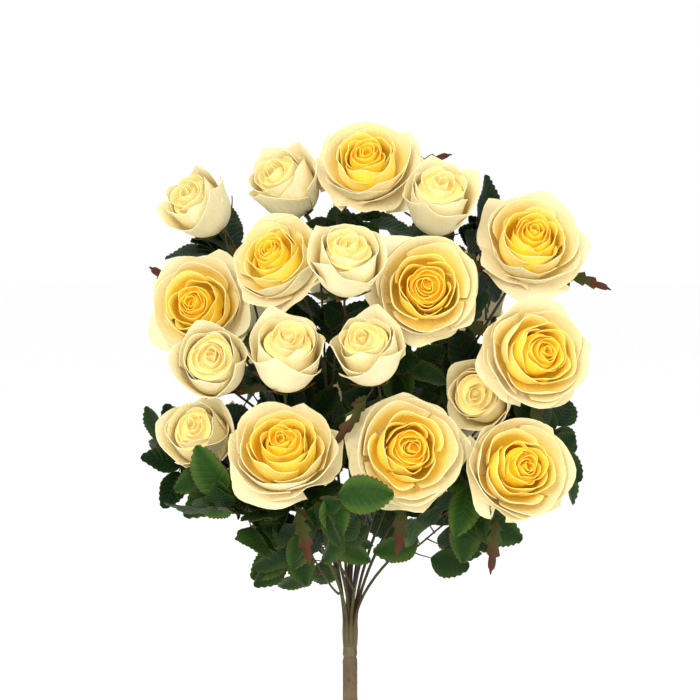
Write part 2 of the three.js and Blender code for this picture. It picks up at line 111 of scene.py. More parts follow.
def noise(tree, scale, detail=3.0, stretch=(1, 1, 1), place=None):
    """Noise over object coordinates, or over another place, with each axis scaled."""
    if place is None:
        place = object_place(tree)
    mapped = node(tree, "ShaderNodeMapping", {"Vector": place, "Scale": stretch}).outputs[0]
    inputs = {"Vector": mapped, "Scale": scale, "Detail": detail}
    return node(tree, "ShaderNodeTexNoise", inputs).outputs["Fac"]


def blend_colours(tree, share, first, second, way="MIX"):
    inputs = {0: share, 6: first, 7: second}
    return node(tree, "ShaderNodeMix", inputs, data_type="RGBA", blend_type=way).outputs[2]


def add_object(name, data):
    made = bpy.data.objects.new(name, data)
    bpy.context.scene.collection.objects.link(made)
    return made


def floor_finish():
    material, tree, shader = finish("floor_paper")
    paper = blend_colours(tree, noise(tree, 30.0), linear(253, 253, 253), linear(255, 255, 255))
    tree.links.new(paper, shader.inputs["Base Color"])
    shader.inputs["Roughness"].default_value = FLOOR_ROUGHNESS
    return material


floor_mesh = bpy.data.meshes.new("floor")
corners = [(-1, -1), (1, -1), (1, 1), (-1, 1)]
floor_mesh.from_pydata([(x * FLOOR_REACH, y * FLOOR_REACH, 0.0) for x, y in corners], [], [(0, 1, 2, 3)])
floor_mesh.materials.append(floor_finish())
floor = add_object("floor", floor_mesh)


def aimed(place, aim):
    """The turn that points a lamp or the camera from its place at its aim."""
    return (Vector(aim) - Vector(place)).to_track_quat("-Z", "Y").to_euler()


for name, place, width, watts in LAMPS:
    light = bpy.data.lights.new(name, "AREA")
    light.shape = "DISK"
    light.size = width
    light.energy = watts
    lamp = add_object(name, light)
    lamp.location = place
    lamp.rotation_euler = aimed(place, LAMP_AIM)

world = bpy.data.worlds.new("pale_room")
world.use_nodes = True
background = world.node_tree.nodes["Background"]
background.inputs["Color"].default_value = (1.0, 1.0, 1.0, 1.0)
background.inputs["Strength"].default_value = 1.0
bpy.context.scene.world = world
bpy.context.scene.view_settings.view_transform = "Standard"
bpy.context.scene.cycles.diffuse_bounces = LIGHT_BOUNCES

camera_data = bpy.data.cameras.new("camera")
camera_data.lens = LENS
camera_data.sensor_width = SENSOR_WIDTH
camera = add_object("camera", camera_data)
camera.location = (0.0, -VIEW_DISTANCE * MM, VIEW_HEIGHT * MM)
camera.rotation_euler = aimed(camera.location, (0, 0, AIM_HEIGHT * MM))
bpy.context.scene.camera = camera

# ---- The handle ------------------------------------------------------------------------------------
# A sleeve of soft plastic, moulded over the gathered stem wires. It has the streaks and nicks of
# bark, a ring pressed in near the top, and ridges where the outer stems leave it.

HANDLE_RADIUS = 7.1
HANDLE_HEIGHT = 115
HANDLE_SIDES = 120
HANDLE_ROWS = 180
BARK_ROOM = 0.15
FOOT_BEVEL = 0.5
FOOT_BEVEL_HEIGHT = 0.8
RING_HEIGHT = 87
RING_DEPTH = 0.9
RING_HALF_WIDTH = 1.5
# how many streaks stand round the handle, and how deep they are
STREAKS = [(5, 0.12), (9, 0.1), (17, 0.09), (29, 0.07), (41, 0.05)]
# nicks, then knobs: how many, the highest place, the range of half widths, of half heights and of
# depths, and which way they go
BARK_MARKS = [
    (60, 108, (0.4, 0.8), (0.8, 2.4), (0.12, 0.3), -1),
    (70, 84, (0.8, 1.7), (1.0, 2.2), (0.15, 0.4), 1),
]
LOWEST_MARK = 4
MARK_RADIUS = 7
RIDGES = 9
RIDGE_FOOT = 88
RIDGE_RUN = 26
RIDGE_HEIGHT = 0.75
RIDGE_HALF_ANGLE = 0.2
VALLEY_DEPTH = 0.3
TOP_TUCK = 4.0
TOP_TUCK_HEIGHT = 2.5


def make_piece(name, points, faces, material, traits=None, cells=None, smooth_below=60):
    """One mesh object at the origin, from points in millimetres. Traits are values for each point,
    and cells are map places for each face corner."""
    mesh = bpy.data.meshes.new(name)
    mesh.from_pydata((np.asarray(points) * MM).tolist(), [], [tuple(face) for face in faces])
    for trait, values in (traits or {}).items():
        values = np.asarray(values, dtype=np.float32)
        if values.ndim == 2:
            mesh.attributes.new(trait, "FLOAT_VECTOR", "POINT").data.foreach_set("vector", values.ravel())
        else:
            mesh.attributes.new(trait, "FLOAT", "POINT").data.foreach_set("value", values)
    if cells is not None:
        mesh.uv_layers.new(name="OFBake").data.foreach_set("uv", cells.astype(np.float32).ravel())
    mesh.shade_smooth()
    mesh.set_sharp_from_angle(angle=math.radians(smooth_below))
    mesh.materials.append(material)
    return add_object(name, mesh)


def closed_rings(rings):
    """Points and faces of a closed skin over rings [ring, side], with a point at each end."""
    count, sides = rings.shape[:2]
    points = [rings[0].mean(axis=0), *rings.reshape(-1, 3), rings[-1].mean(axis=0)]
    faces = []
    for side in range(sides):
        ahead = (side + 1) % sides
        faces.append((0, 1 + ahead, 1 + side))
        for ring in range(1, count):
            low, high = 1 + (ring - 1) * sides, 1 + ring * sides
            faces.append((low + side, low + ahead, high + ahead, high + side))
        last = 1 + (count - 1) * sides
        faces.append((last + side, last + ahead, len(points) - 1))
    return points, faces


def angle_from(angle, middle):
    """The angle off a middle one, the short way round."""
    return np.angle(np.exp(1j * (angle - middle)))


def handle_rings():
    """Rings of points up the sleeve, with its bevel, ring groove, bark and ridges."""
    rng = np.random.default_rng(3)
    turn = 2 * np.pi
    height = np.linspace(0, HANDLE_HEIGHT, HANDLE_ROWS)[:, None]
    angle = np.linspace(0, turn, HANDLE_SIDES, endpoint=False)[None, :]
    radius = np.full((HANDLE_ROWS, HANDLE_SIDES), HANDLE_RADIUS - BARK_ROOM)
    radius -= FOOT_BEVEL * np.exp(-height / FOOT_BEVEL_HEIGHT)
    radius -= RING_DEPTH * np.exp(-(((height - RING_HEIGHT) / RING_HALF_WIDTH) ** 2))
    for streaks, depth in STREAKS:
        drift = rng.uniform(0, turn) + rng.uniform(0.6, 1.6) * np.sin(height / rng.uniform(9, 22))
        radius += depth * np.sin(streaks * angle + drift)
    for count, highest, half_widths, half_heights, depths, way in BARK_MARKS:
        for _ in range(count):
            across = angle_from(angle, rng.uniform(0, turn)) * MARK_RADIUS
            up = height - rng.uniform(LOWEST_MARK, highest)
            off = (across / rng.uniform(*half_widths)) ** 2 + (up / rng.uniform(*half_heights)) ** 2
            radius += way * rng.uniform(*depths) * np.exp(-off)
    rise = np.clip((height - RIDGE_FOOT) / RIDGE_RUN, 0, 1) ** 1.5
    for place in range(RIDGES):
        across = angle_from(angle, turn * place / RIDGES) / RIDGE_HALF_ANGLE
        radius += rise * (RIDGE_HEIGHT * np.exp(-(across**2)) - VALLEY_DEPTH)
    into_top = np.clip((height - HANDLE_HEIGHT + TOP_TUCK_HEIGHT) / TOP_TUCK_HEIGHT, 0, 1)
    radius -= TOP_TUCK * into_top**2
    return np.stack([radius * np.cos(angle), radius * np.sin(angle), height + 0 * angle], axis=-1)


def reckon(tree, operation, *values):
    return node(tree, "ShaderNodeMath", dict(enumerate(values)), operation=operation).outputs[0]


def spread(tree, source, low, high, to_low=0.0, to_high=1.0):
    """Maps low..high of a value smoothly on to another range."""
    inputs = dict(enumerate((source, low, high, to_low, to_high)))
    return node(tree, "ShaderNodeMapRange", inputs, interpolation_type="SMOOTHSTEP").outputs[0]


def laid_over(tree, colour, over, source, low, high, most=1.0):
    """Lays a second colour over the first as the source goes from low to high."""
    return blend_colours(tree, spread(tree, source, low, high, 0.0, most), colour, over)


def height_of(tree):
    """How high the surface is, in metres."""
    return node(tree, "ShaderNodeSeparateXYZ", {0: object_place(tree)}).outputs["Z"]


def complete(tree, shader, colour, roughness, gloss, height, depth, strength=1.0):
    """Joins a finish to its shader, with a relief whose depth is in metres."""
    bump = node(tree, "ShaderNodeBump", {"Strength": strength, "Distance": depth, "Height": height})
    tree.links.new(colour, shader.inputs["Base Color"])
    tree.links.new(roughness, shader.inputs["Roughness"])
    tree.links.new(bump.outputs[0], shader.inputs["Normal"])
    shader.inputs["Specular IOR Level"].default_value = gloss


def handle_finish():
    material, tree, shader = finish("moulded_bark")
    streaks = noise(tree, 420.0, 5.0, (1, 1, 0.12))
    patches = noise(tree, 60.0, stretch=(1, 1, 0.5))
    specks = noise(tree, 330.0, 2.0, (1, 1, 0.7))
    body = laid_over(tree, linear(102, 82, 50), linear(94, 86, 50), height_of(tree), 0.06, 0.12)
    body = laid_over(tree, body, linear(84, 66, 42), patches, 0.4, 0.65)
    body = laid_over(tree, body, linear(78, 66, 44), streaks, 0.5, 0.72, 0.6)
    body = laid_over(tree, body, linear(60, 46, 28), specks, 0.56, 0.68, 0.75)
    roughness = spread(tree, patches, 0.3, 0.7, 0.5, 0.68)
    complete(tree, shader, body, roughness, 0.5, reckon(tree, "SUBTRACT", streaks, specks), 0.0008)
    return material


points, faces = closed_rings(handle_rings())
handle = make_piece("handle_sleeve", points, faces, handle_finish())
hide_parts("handle")
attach(handle, "root")

# ---- The stems -------------------------------------------------------------------------------------
# Thirteen iron wires in a skin of olive-brown plastic. They leave the handle upright, fan out, and
# each bends over at its tip to carry a flower. Eleven thinner wires branch off them.

OUTER_ROOTS = 5.4
INNER_ROOTS = 2.15
SEAT_GAP = 0.3
NECK = 14
ROSE_MIDDLE = 25
BUD_MIDDLE = 33
STEM_RADII = (1.5, 1.2)
STALK_RADII = (1.2, 1.1)
LEAVING_REACH = 0.3
ARRIVING_REACH = 0.18
SIDE_LEAN = 0.6
LIMB_STEPS = 8
STEM_STEPS = 44
STALK_STEPS = 24
# how much thicker a wire is where it starts, and the share of its length in which that fades
STEM_SWELL = (0.75, 0.03)
STALK_SWELL = (0.5, 0.05)
# how far below its start a stem's points in the handle are, and its radius there
STEM_FOOT = [(17, 1.7), (11, 2.1), (6, 2.3)]
STALK_FOOT_RADIUS = 1.1
COAT_SIDES = 10
STEM_RELIEF = 0.35
STALK_RELIEF = 0.3
COAT_GRAIN = 260.0

# name, across, up and fore on a sight line, turn to the right, tilt above level, size, and the
# clock angle of the young leaf
ROSES = [
    ("rose_01", 17, 556, 25, -8, 36, 1.0, 55),
    ("rose_02", 171, 482, 45, 8, 29, 1.03, 105),
    ("rose_03", -68, 465, 80, -28, 30, 0.95, 200),
    ("rose_04", 72, 440, 110, 5, 14, 1.02, 118),
    ("rose_05", -143, 424, 38, -17, 15, 1.0, 305),
    ("rose_06", 175, 378, 112, 15, 16, 1.03, 168),
    ("rose_07", -62, 285, 138, 2, 40, 1.05, 165),
    ("rose_08", 54, 286, 125, 10, 13, 1.06, 180),
    ("rose_09", 159, 269, 124, 16, 19, 1.02, 195),
    ("rose_10", -112, 402, -95, -142, 28, 0.98, 240),
    ("rose_11", 104, 440, -90, 140, 32, 1.0, 120),
    ("rose_12", 10, 318, -118, 176, 18, 1.02, 180),
]
BUDS = [
    ("bud_01", -142, 518, 20, -37, 34, 0.98, 150),
    ("bud_02", -60, 537, 10, -33, 38, 1.03, 150),
    ("bud_03", 84, 522, 60, 4, 42, 1.02, 130),
    ("bud_04", -2, 464, 145, 5, 42, 0.98, None),
    ("bud_05", -130, 368, 112, -10, 25, 1.0, None),
    ("bud_06", -60, 376, 128, 5, 50, 1.04, 285),
    ("bud_07", 18, 380, 140, -15, 42, 0.97, 205),
    ("bud_08", 125, 337, 79, -22, 12, 0.98, None),
    ("bud_09", -142, 299, 80, -20, 30, 0.98, 30),
    ("bud_10", -18, 455, -95, -172, 40, 1.0, 90),
    ("bud_11", -118, 300, -70, -128, 22, 0.95, 200),
    ("bud_12", 118, 310, -75, 130, 24, 0.97, 160),
]
# the head it carries, its place round the handle in degrees, and whether it is an inner one
STEMS = [
    ("rose_01", 90, True),
    ("rose_03", 180, True),
    ("bud_06", -90, True),
    ("rose_04", 0, True),
    ("rose_05", 200, False),
    ("rose_07", 240, False),
    ("rose_08", 280, False),
    ("rose_09", 320, False),
    ("rose_06", 0, False),
    ("rose_02", 40, False),
    ("rose_11", 80, False),
    ("rose_12", 120, False),
    ("rose_10", 160, False),
]
# for each head on a side stalk, the stem that carries it and how far along
STALKS = {
    "bud_01": ("rose_05", 0.62),
    "bud_02": ("rose_03", 0.62),
    "bud_03": ("rose_02", 0.55),
    "bud_04": ("rose_01", 0.45),
    "bud_05": ("rose_05", 0.5),
    "bud_07": ("rose_04", 0.42),
    "bud_08": ("rose_06", 0.5),
    "bud_09": ("rose_07", 0.42),
    "bud_10": ("rose_12", 0.6),
    "bud_11": ("rose_10", 0.45),
    "bud_12": ("rose_11", 0.42),
}


def unit(a):
    return a / np.linalg.norm(a)


def square_to(a, b):
    """b turned to stand square on the unit vector a."""
    return unit(b - a * np.dot(b, a))


def on_sight_line(across, up, fore):
    share = fore / VIEW_DISTANCE
    return np.array([across * (1 - share), -fore, up + (VIEW_HEIGHT - up) * share])


def place_head(name, across, up, fore, turn, tilt, size, clock):
    """Where a flower stands: its axis, the two ways square to it, its base and the foot of its neck."""
    turn, tilt = math.radians(turn), math.radians(tilt)
    axis = np.array([math.sin(turn) * math.cos(tilt), -math.cos(turn) * math.cos(tilt), math.sin(tilt)])
    side = np.array([math.cos(turn), math.sin(turn), 0.0])
    is_open = name.startswith("rose")
    base = on_sight_line(across, up, fore) - axis * ((ROSE_MIDDLE if is_open else BUD_MIDDLE) * size)
    return {
        "name": name, "open": is_open, "axis": axis, "side": side, "top": np.cross(axis, side),
        "base": base, "foot": base - axis * NECK, "size": size, "clock": clock,
    }


heads = {row[0]: place_head(*row) for row in ROSES + BUDS}


def on_curve(limb, t):
    a, b, c, d = limb["controls"]
    s = 1 - t
    return a * s**3 + b * 3 * s * s * t + c * 3 * s * t * t + d * t**3


def way_along(limb, t):
    return unit(on_curve(limb, min(1, t + 1e-4)) - on_curve(limb, max(0, t - 1e-4)))


def make_limb(start, leaving, end, arriving, radii):
    """The curve of a wire, and the straight pieces that stand for it where room is looked for."""
    span = np.linalg.norm(end - start)
    after = start + leaving * LEAVING_REACH * span
    before = end - arriving * ARRIVING_REACH * span
    limb = {"controls": [start, after, before, end], "radii": radii}
    limb["points"] = [on_curve(limb, i / LIMB_STEPS) for i in range(LIMB_STEPS + 1)]
    return limb


def on_pieces(limb, t):
    """The point at the share t of a limb's straight pieces."""
    i = min(int(t * LIMB_STEPS), LIMB_STEPS - 1)
    share = t * LIMB_STEPS - i
    return limb["points"][i] * (1 - share) + limb["points"][i + 1] * share


def side_limb(carrier, t, end, arriving, radii):
    along = way_along(carrier, t)
    middle = on_pieces(carrier, t)
    away = square_to(along, unit(end - middle))
    root, tip = carrier["radii"]
    start = middle + away * (root + (tip - root) * t + radii[0] + SEAT_GAP)
    limb = make_limb(start, unit(along + away * SIDE_LEAN), end, arriving, radii)
    limb["fork"] = on_curve(carrier, t)
    return limb


limbs = {}
for name, angle, inner in STEMS:
    head = heads[name]
    out = np.array([math.cos(math.radians(angle)), math.sin(math.radians(angle)), 0.0])
    start = np.array([0, 0, HANDLE_HEIGHT + SEAT_GAP]) + out * (INNER_ROOTS if inner else OUTER_ROOTS)
    up = np.array([0.0, 0.0, 1.0])
    end = head["foot"] - head["axis"] * SEAT_GAP
    limbs[name] = make_limb(start, up, end, head["axis"], STEM_RADII)
for name, (carrier, t) in STALKS.items():
    head = heads[name]
    limbs[name] = side_limb(limbs[carrier], t, head["foot"], head["axis"], STALK_RADII)


def geometry_tree(name, **kinds):
    """A tree of geometry nodes with named inputs of these kinds, and the sockets that give them."""
    tree = bpy.data.node_groups.new(name, "GeometryNodeTree")
    tree.is_modifier = True
    for key, kind in {"Geometry": "Geometry", **kinds}.items():
        tree.interface.new_socket(key, in_out="INPUT", socket_type="NodeSocket" + kind)
    tree.interface.new_socket("Geometry", in_out="OUTPUT", socket_type="NodeSocketGeometry")
    return tree, node(tree, "NodeGroupInput").outputs


def end_tree(tree, geometry, material):
    """Sets the material of the geometry and gives it out."""
    painted = node(tree, "GeometryNodeSetMaterial", {"Geometry": geometry, "Material": material})
    node(tree, "NodeGroupOutput", {0: painted.outputs[0]})


def wire_nodes():
    """Geometry nodes that wrap each curve of an object in a round coat with a fine relief."""
    tree, given = geometry_tree("coated_wire", Sides="Int", Relief="Float", Coat="Material")
    circle = {"Resolution": given["Sides"], "Radius": 1.0}
    section = node(tree, "GeometryNodeCurvePrimitiveCircle", circle).outputs["Curve"]
    radius = node(tree, "GeometryNodeInputRadius").outputs[0]
    wrap = {"Curve": given["Geometry"], "Profile Curve": section, "Scale": radius, "Fill Caps": True}
    coat = node(tree, "GeometryNodeCurveToMesh", wrap).outputs[0]
    grain = node(tree, "ShaderNodeTexNoise", {"Scale": COAT_GRAIN, "Detail": 2.0}).outputs["Fac"]
    lift = reckon(tree, "MULTIPLY", reckon(tree, "SUBTRACT", grain, 0.5), given["Relief"])
    normal = node(tree, "GeometryNodeInputNormal").outputs[0]
    push = node(tree, "ShaderNodeVectorMath", {0: normal, "Scale": lift}, operation="SCALE").outputs[0]
    shape = node(tree, "GeometryNodeSetPosition", {"Geometry": coat, "Offset": push}).outputs[0]
    realized = node(tree, "GeometryNodeRealizeInstances", {0: shape}).outputs[0]
    smooth = node(tree, "GeometryNodeSetShadeSmooth", {0: realized}).outputs[0]
    end_tree(tree, smooth, given["Coat"])
    return tree


def run_nodes(name, carrier, tree, **inputs):
    """Runs geometry nodes on an object and keeps the result as a plain mesh object."""
    modifier = carrier.modifiers.new("nodes", "NODES")
    modifier.node_group = tree
    for item in tree.interface.items_tree:
        if item.in_out == "INPUT" and item.name in inputs:
            modifier[item.identifier] = inputs[item.name]
    evaluated = carrier.evaluated_get(bpy.context.evaluated_depsgraph_get())
    mesh = bpy.data.meshes.new_from_object(evaluated)
    carrier.modifiers.remove(modifier)
    mesh.name = name
    bpy.data.objects.remove(carrier)
    return add_object(name, mesh)


def coated_wires(name, runs, sides, relief_height, coat):
    """Each run is a list of points in millimetres and a radius for each."""
    curve = bpy.data.curves.new(name + "_runs", "CURVE")
    curve.dimensions = "3D"
    curve.twist_mode = "MINIMUM"
    for points, radii in runs:
        spline = curve.splines.new("POLY")
        spline.points.add(len(points) - 1)
        spline.points.foreach_set("co", np.c_[np.array(points) * MM, np.ones(len(points))].ravel())
        spline.points.foreach_set("radius", np.array(radii) * MM)
    carrier = add_object(name + "_runs", curve)
    return run_nodes(name, carrier, wire_tree, Sides=sides, Relief=relief_height * MM, Coat=coat)


def stem_finish(name, olive, brown):
    """Patches of two colours under a dark grain, and the colour of the handle at the foot."""
    material, tree, shader = finish(name)
    patches = noise(tree, 55.0, stretch=(1, 1, 0.35))
    grain = noise(tree, 700.0, 4.0, (1, 1, 0.3))
    colour = laid_over(tree, olive, brown, patches, 0.38, 0.62)
    colour = laid_over(tree, colour, linear(34, 26, 12), grain, 0.45, 0.75, 0.5)
    colour = laid_over(tree, colour, linear(92, 84, 50), height_of(tree), 0.14, 0.102, 0.9)
    complete(tree, shader, colour, spread(tree, grain, 0.3, 0.7, 0.42, 0.6), 0.25, grain, 0.00025)
    return material


def wire_run(limb, steps, foot, radii, swell):
    """The points and radii of a wire along a limb. Foot gives its points and radii before that."""
    shares = np.linspace(0, 1, steps)
    more, fade = swell
    along = radii[0] + (radii[1] - radii[0]) * shares + more * np.exp(-shares / fade)
    points = [point for point, _ in foot] + [on_curve(limb, t) for t in shares]
    return points, [radius for _, radius in foot] + list(along)


wire_tree = wire_nodes()
stem_coat = stem_finish("stem_coat", linear(78, 76, 40), linear(62, 40, 26))

stem_runs = []
for name, _, _ in STEMS:
    foot = [(limbs[name]["points"][0] - [0, 0, drop], radius) for drop, radius in STEM_FOOT]
    stem_runs.append(wire_run(limbs[name], STEM_STEPS, foot, STEM_RADII, STEM_SWELL))
stems = coated_wires("stems", stem_runs, COAT_SIDES, STEM_RELIEF, stem_coat)
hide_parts(*["stem_" + name for name, _, _ in STEMS])
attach(stems, "root")

stalk_runs = []
for name in STALKS:
    foot = [(limbs[name]["fork"], STALK_FOOT_RADIUS)]
    stalk_runs.append(wire_run(limbs[name], STALK_STEPS, foot, STALK_RADII, STALK_SWELL))
stalks = coated_wires("side_stalks", stalk_runs, COAT_SIDES, STALK_RELIEF, stem_coat)
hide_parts(*STALKS)
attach(stalks, "root")

# ---- Necks and calyxes -----------------------------------------------------------------------------
# Under each flower a green plastic cup is pushed over the wire, with a short thick neck. The petals
# are glued in the cup.

NECK_SIDES = 14
CALYX_RIBS = 5
RIB_DEPTH = 0.05
RIB_FOOT = -4
# radius and height, from inside the neck's end to the rim of the cup
CALYX_PROFILE = [
    (1.3, -14.6), (2.0, -13.6), (2.1, -9.0), (2.2, -5.0), (3.0, -3.0), (5.2, -1.6), (6.6, 0.0), (7.0, 1.2),
]


def around(head, radius, height, angle):
    """A point beside a head's axis. Above the calyx base it grows with the head."""
    grown = np.where(np.asarray(height) > 0, head["size"], 1.0)
    radius, height = radius * grown, height * grown
    return (
        head["base"]
        + head["axis"] * height[..., None]
        + head["side"] * (radius * np.cos(angle))[..., None]
        + head["top"] * (radius * np.sin(angle))[..., None]
    )


def join(parts):
    """Joins lists of (points, faces) into one."""
    points, faces, count = [], [], 0
    for part_points, part_faces in parts:
        points.extend(part_points)
        faces.extend([tuple(i + count for i in face) for face in part_faces])
        count += len(part_points)
    return points, faces


def calyx_cup(head):
    """A cup with five soft ribs and the neck below it, as one closed skin."""
    profile = np.array(CALYX_PROFILE)
    angle = np.linspace(0, 2 * np.pi, NECK_SIDES, endpoint=False)[None, :]
    ribs = 1 + RIB_DEPTH * np.cos(CALYX_RIBS * angle) * (profile[:, 1:] > RIB_FOOT)
    rings = around(head, profile[:, :1] * ribs, profile[:, 1:] + 0 * angle, angle)
    return closed_rings(rings)


def trait(tree, name, kind="Fac"):
    """A value that the mesh carries at each point."""
    return node(tree, "ShaderNodeAttribute", attribute_name=name).outputs[kind]


def calyx_finish(name, green, brown):
    """Green plastic or cloth that turns brown along a leaf's reach, and mottled all over."""
    material, tree, shader = finish(name)
    mottle = noise(tree, 160.0, 4.0)
    colour = laid_over(tree, green, brown, trait(tree, "reach"), 0.35, 0.75)
    colour = laid_over(tree, colour, linear(48, 58, 20), mottle, 0.35, 0.7, 0.55)
    complete(tree, shader, colour, spread(tree, mottle, 0.3, 0.7, 0.45, 0.65), 0.12, mottle, 0.0003)
    return material


points, faces = join([calyx_cup(head) for head in heads.values()])
calyx_green = calyx_finish("calyx_green", linear(70, 86, 26), linear(104, 50, 28))
calyxes = make_piece("calyxes", points, faces, calyx_green)
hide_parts(*heads)
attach(calyxes, "root")

# ---- Petals of the open roses ----------------------------------------------------------------------
# Cut from stiffened cloth, dyed gold at the heart and left cream at the rim, and pressed to shape
# while hot. The inner ones are wound into a tight spiral, the next stand in a cup and the outer
# ones spread flat with their rims turned back.

PETAL_COLUMNS = 17
PETAL_ROWS = 13
PETAL_CLOTH = {"guard": 0.4, "cup": 0.45, "middle": 0.55, "heart": 0.55}
PETAL_ROOT = (2.4, 0.6)
PETAL_STEP = 137.5
CELL_MARGIN = 0.08
RIM_REACH = 1.1
CLOSE_FROM = 0.35
CLOSE_RUN = 0.6
POINT_HALF = 0.4
PETAL_SMOOTH_BELOW = 70
THREADS = (9.0, 1.2, 1.0)

# Each row of petals winds inwards. Where a value has two numbers, it runs from the row's first
# petal to its last. lean is how far the upper part closes in, turned and turn_from how far and from
# where the rim bends out, and side how far the sides are tucked in, or turned back below zero.
OPEN_ROWS = [
    {
        "part": "guard", "petals": 5, "reach": (48, 44.5), "height": (22, 30), "belly": (34, 35),
        "belly_height": (5, 8), "half": (58, 52), "lean": (0, 0), "turned": (8, 6), "turn_from": 0.5,
        "side": (-6, -4), "fall": 0.28, "round": 1.35, "point": 0.09, "wave": 2.8, "jitter": 0.05,
    },
    {
        "part": "cup", "petals": 6, "reach": (40.5, 35.5), "height": (37, 41.5), "belly": (43.5, 42),
        "belly_height": (8, 11), "half": (66, 64), "lean": (0, 1.2), "turned": (5.5, 3.6), "turn_from": 0.66,
        "side": (2, 2.6), "fall": 0.18, "round": 1.8, "point": 0.03, "wave": 1.6, "jitter": 0.05,
    },
    {
        "part": "middle", "petals": 7, "reach": (31.5, 20), "height": (42, 47), "belly": (39.5, 30),
        "belly_height": (12, 18), "half": (64, 70), "lean": (3.4, 3.4), "turned": (3, 2.2), "turn_from": 0.8,
        "side": (3.2, 3), "fall": 0.15, "round": 2.0, "point": 0.0, "wave": 1.5, "jitter": 0.1,
    },
    {
        "part": "heart", "petals": 10, "reach": (17.5, 2.8), "height": (47.5, 51), "belly": (25.5, 7),
        "belly_height": (19, 25), "half": (74, 150), "lean": (3, 0), "turned": (2, 0.5), "turn_from": 0.82,
        "side": (2.6, 0.7), "fall": 0.14, "round": 2.1, "point": 0.0, "wave": 1.0, "jitter": 0.12,
    },
]
# how wide the guard petals of these roses have opened
OPENED = {
    "rose_03": 0.93, "rose_04": 0.98, "rose_06": 0.86, "rose_07": 0.87, "rose_08": 0.95, "rose_09": 0.86,
}


def bow(start, middle, end, t):
    """A value that is drawn from start to end by way of the middle one, and its slope."""
    s = 1 - t
    return s * s * start + 2 * s * t * middle + t * t * end, 2 * s * (middle - start) + 2 * t * (end - middle)


def petal_grid(head, row, share, middle, rng):
    """The grid of points over one petal."""

    def value(key):
        first, last = row[key]
        return first + (last - first) * share

    # u goes across the petal and v from its root to its rim, which falls away to the sides.
    u = np.linspace(-1, 1, PETAL_COLUMNS)[None, :]
    v = np.linspace(0, 1, PETAL_ROWS)[:, None] ** 0.85
    opened = OPENED.get(head["name"], 1.0) if row["part"] == "guard" else 1.0
    reach = value("reach") * opened * (1 + row["jitter"] * rng.uniform(-1, 1))
    height = value("height") + rng.uniform(-1.0, 1.0)
    outline = 1 - row["fall"] * rng.uniform(0.8, 1.2) * np.abs(u) ** row["round"]
    outline = outline + 0.016 * np.sin(u * rng.uniform(4, 8) + rng.uniform(0, 6.3)) + 0.03 * rng.normal() * u
    outline = outline + row["point"] * np.clip(1 - np.abs(u) / POINT_HALF, 0, 1) ** 2
    root, root_height = PETAL_ROOT
    out, out_way = bow(root, value("belly"), reach, v * outline)
    up, up_way = bow(root_height, value("belly_height"), height, v * outline)
    steep = np.hypot(out_way, up_way)
    # How far the cloth stands off that curve: closed in, turned out, tucked at the sides, and waved.
    closing = np.clip((v - CLOSE_FROM) / CLOSE_RUN, 0, 1)
    away = -value("lean") * closing**2 * (3 - 2 * closing)
    opening = np.clip((v - row["turn_from"]) / (1 - row["turn_from"]), 0, 1)
    away = away + value("turned") * rng.uniform(0.7, 1.3) * opening**2 * (1 - 0.3 * u**2)
    side_rise = np.minimum(1, v * 1.6) if value("side") > 0 else v**2.5
    away = away - value("side") * rng.uniform(0.8, 1.2) * np.abs(u) ** 2.5 * side_rise
    away = away + 0.6 * row["wave"] * rng.normal() * u * v
    away = away + row["wave"] * np.sin(u * rng.uniform(3.2, 5.2) + rng.uniform(0, 6.3)) * v**3
    away = away + 0.45 * row["wave"] * np.sin(u * rng.uniform(7, 10) + rng.uniform(0, 6.3)) * v**4
    out = np.maximum(out + away * up_way / steep, 0.5)
    up = up - away * out_way / steep
    angle = middle + math.radians(value("half") * rng.uniform(0.94, 1.06)) * u
    return around(head, out, up, angle + 0 * v)


def closed_sheets(grids, thickness):
    """Points, faces and map places of thin closed sheets, one over each grid [sheet, row, column].
    Each side of each sheet has a square of its own in the map."""
    count, rows, columns = grids.shape[:3]
    normal = np.cross(np.gradient(grids, axis=2), np.gradient(grids, axis=1))
    normal /= np.maximum(np.linalg.norm(normal, axis=3, keepdims=True), 1e-9)
    points = np.stack([grids + normal * thickness / 2, grids - normal * thickness / 2], axis=1)
    each = rows * columns
    index = np.arange(each).reshape(rows, columns)
    front = np.stack([index[:-1, :-1], index[:-1, 1:], index[1:, 1:], index[1:, :-1]], axis=-1).reshape(-1, 4)
    border = np.concatenate([index[0, :-1], index[:-1, -1], index[-1, :0:-1], index[:0:-1, 0]])
    ahead = np.roll(border, -1)
    edge = np.stack([ahead, border, border + each, ahead + each], axis=-1)
    one = np.concatenate([front, front[:, ::-1] + each, edge])
    faces = (one[None] + (np.arange(count) * 2 * each)[:, None, None]).reshape(-1, 4).tolist()

    low, high = CELL_MARGIN, 1 - CELL_MARGIN
    across, along = np.meshgrid(np.linspace(low, high, columns), np.linspace(low, high, rows))
    inside = np.stack([across.ravel(), along.ravel()], axis=-1)
    outside = 0.5 + (inside - 0.5) * RIM_REACH
    rim = np.stack([inside[ahead], inside[border], outside[border], outside[ahead]], axis=1)
    per_row = math.ceil(math.sqrt(2 * count))
    cells = []
    for sheet in range(count):
        corner = [np.array(divmod(2 * sheet + side, per_row))[::-1] for side in (0, 1)]
        cells += [inside[front] + corner[0], inside[front[:, ::-1]] + corner[1], rim + corner[0]]
    return points.reshape(-1, 3), faces, np.concatenate(cells) / per_row


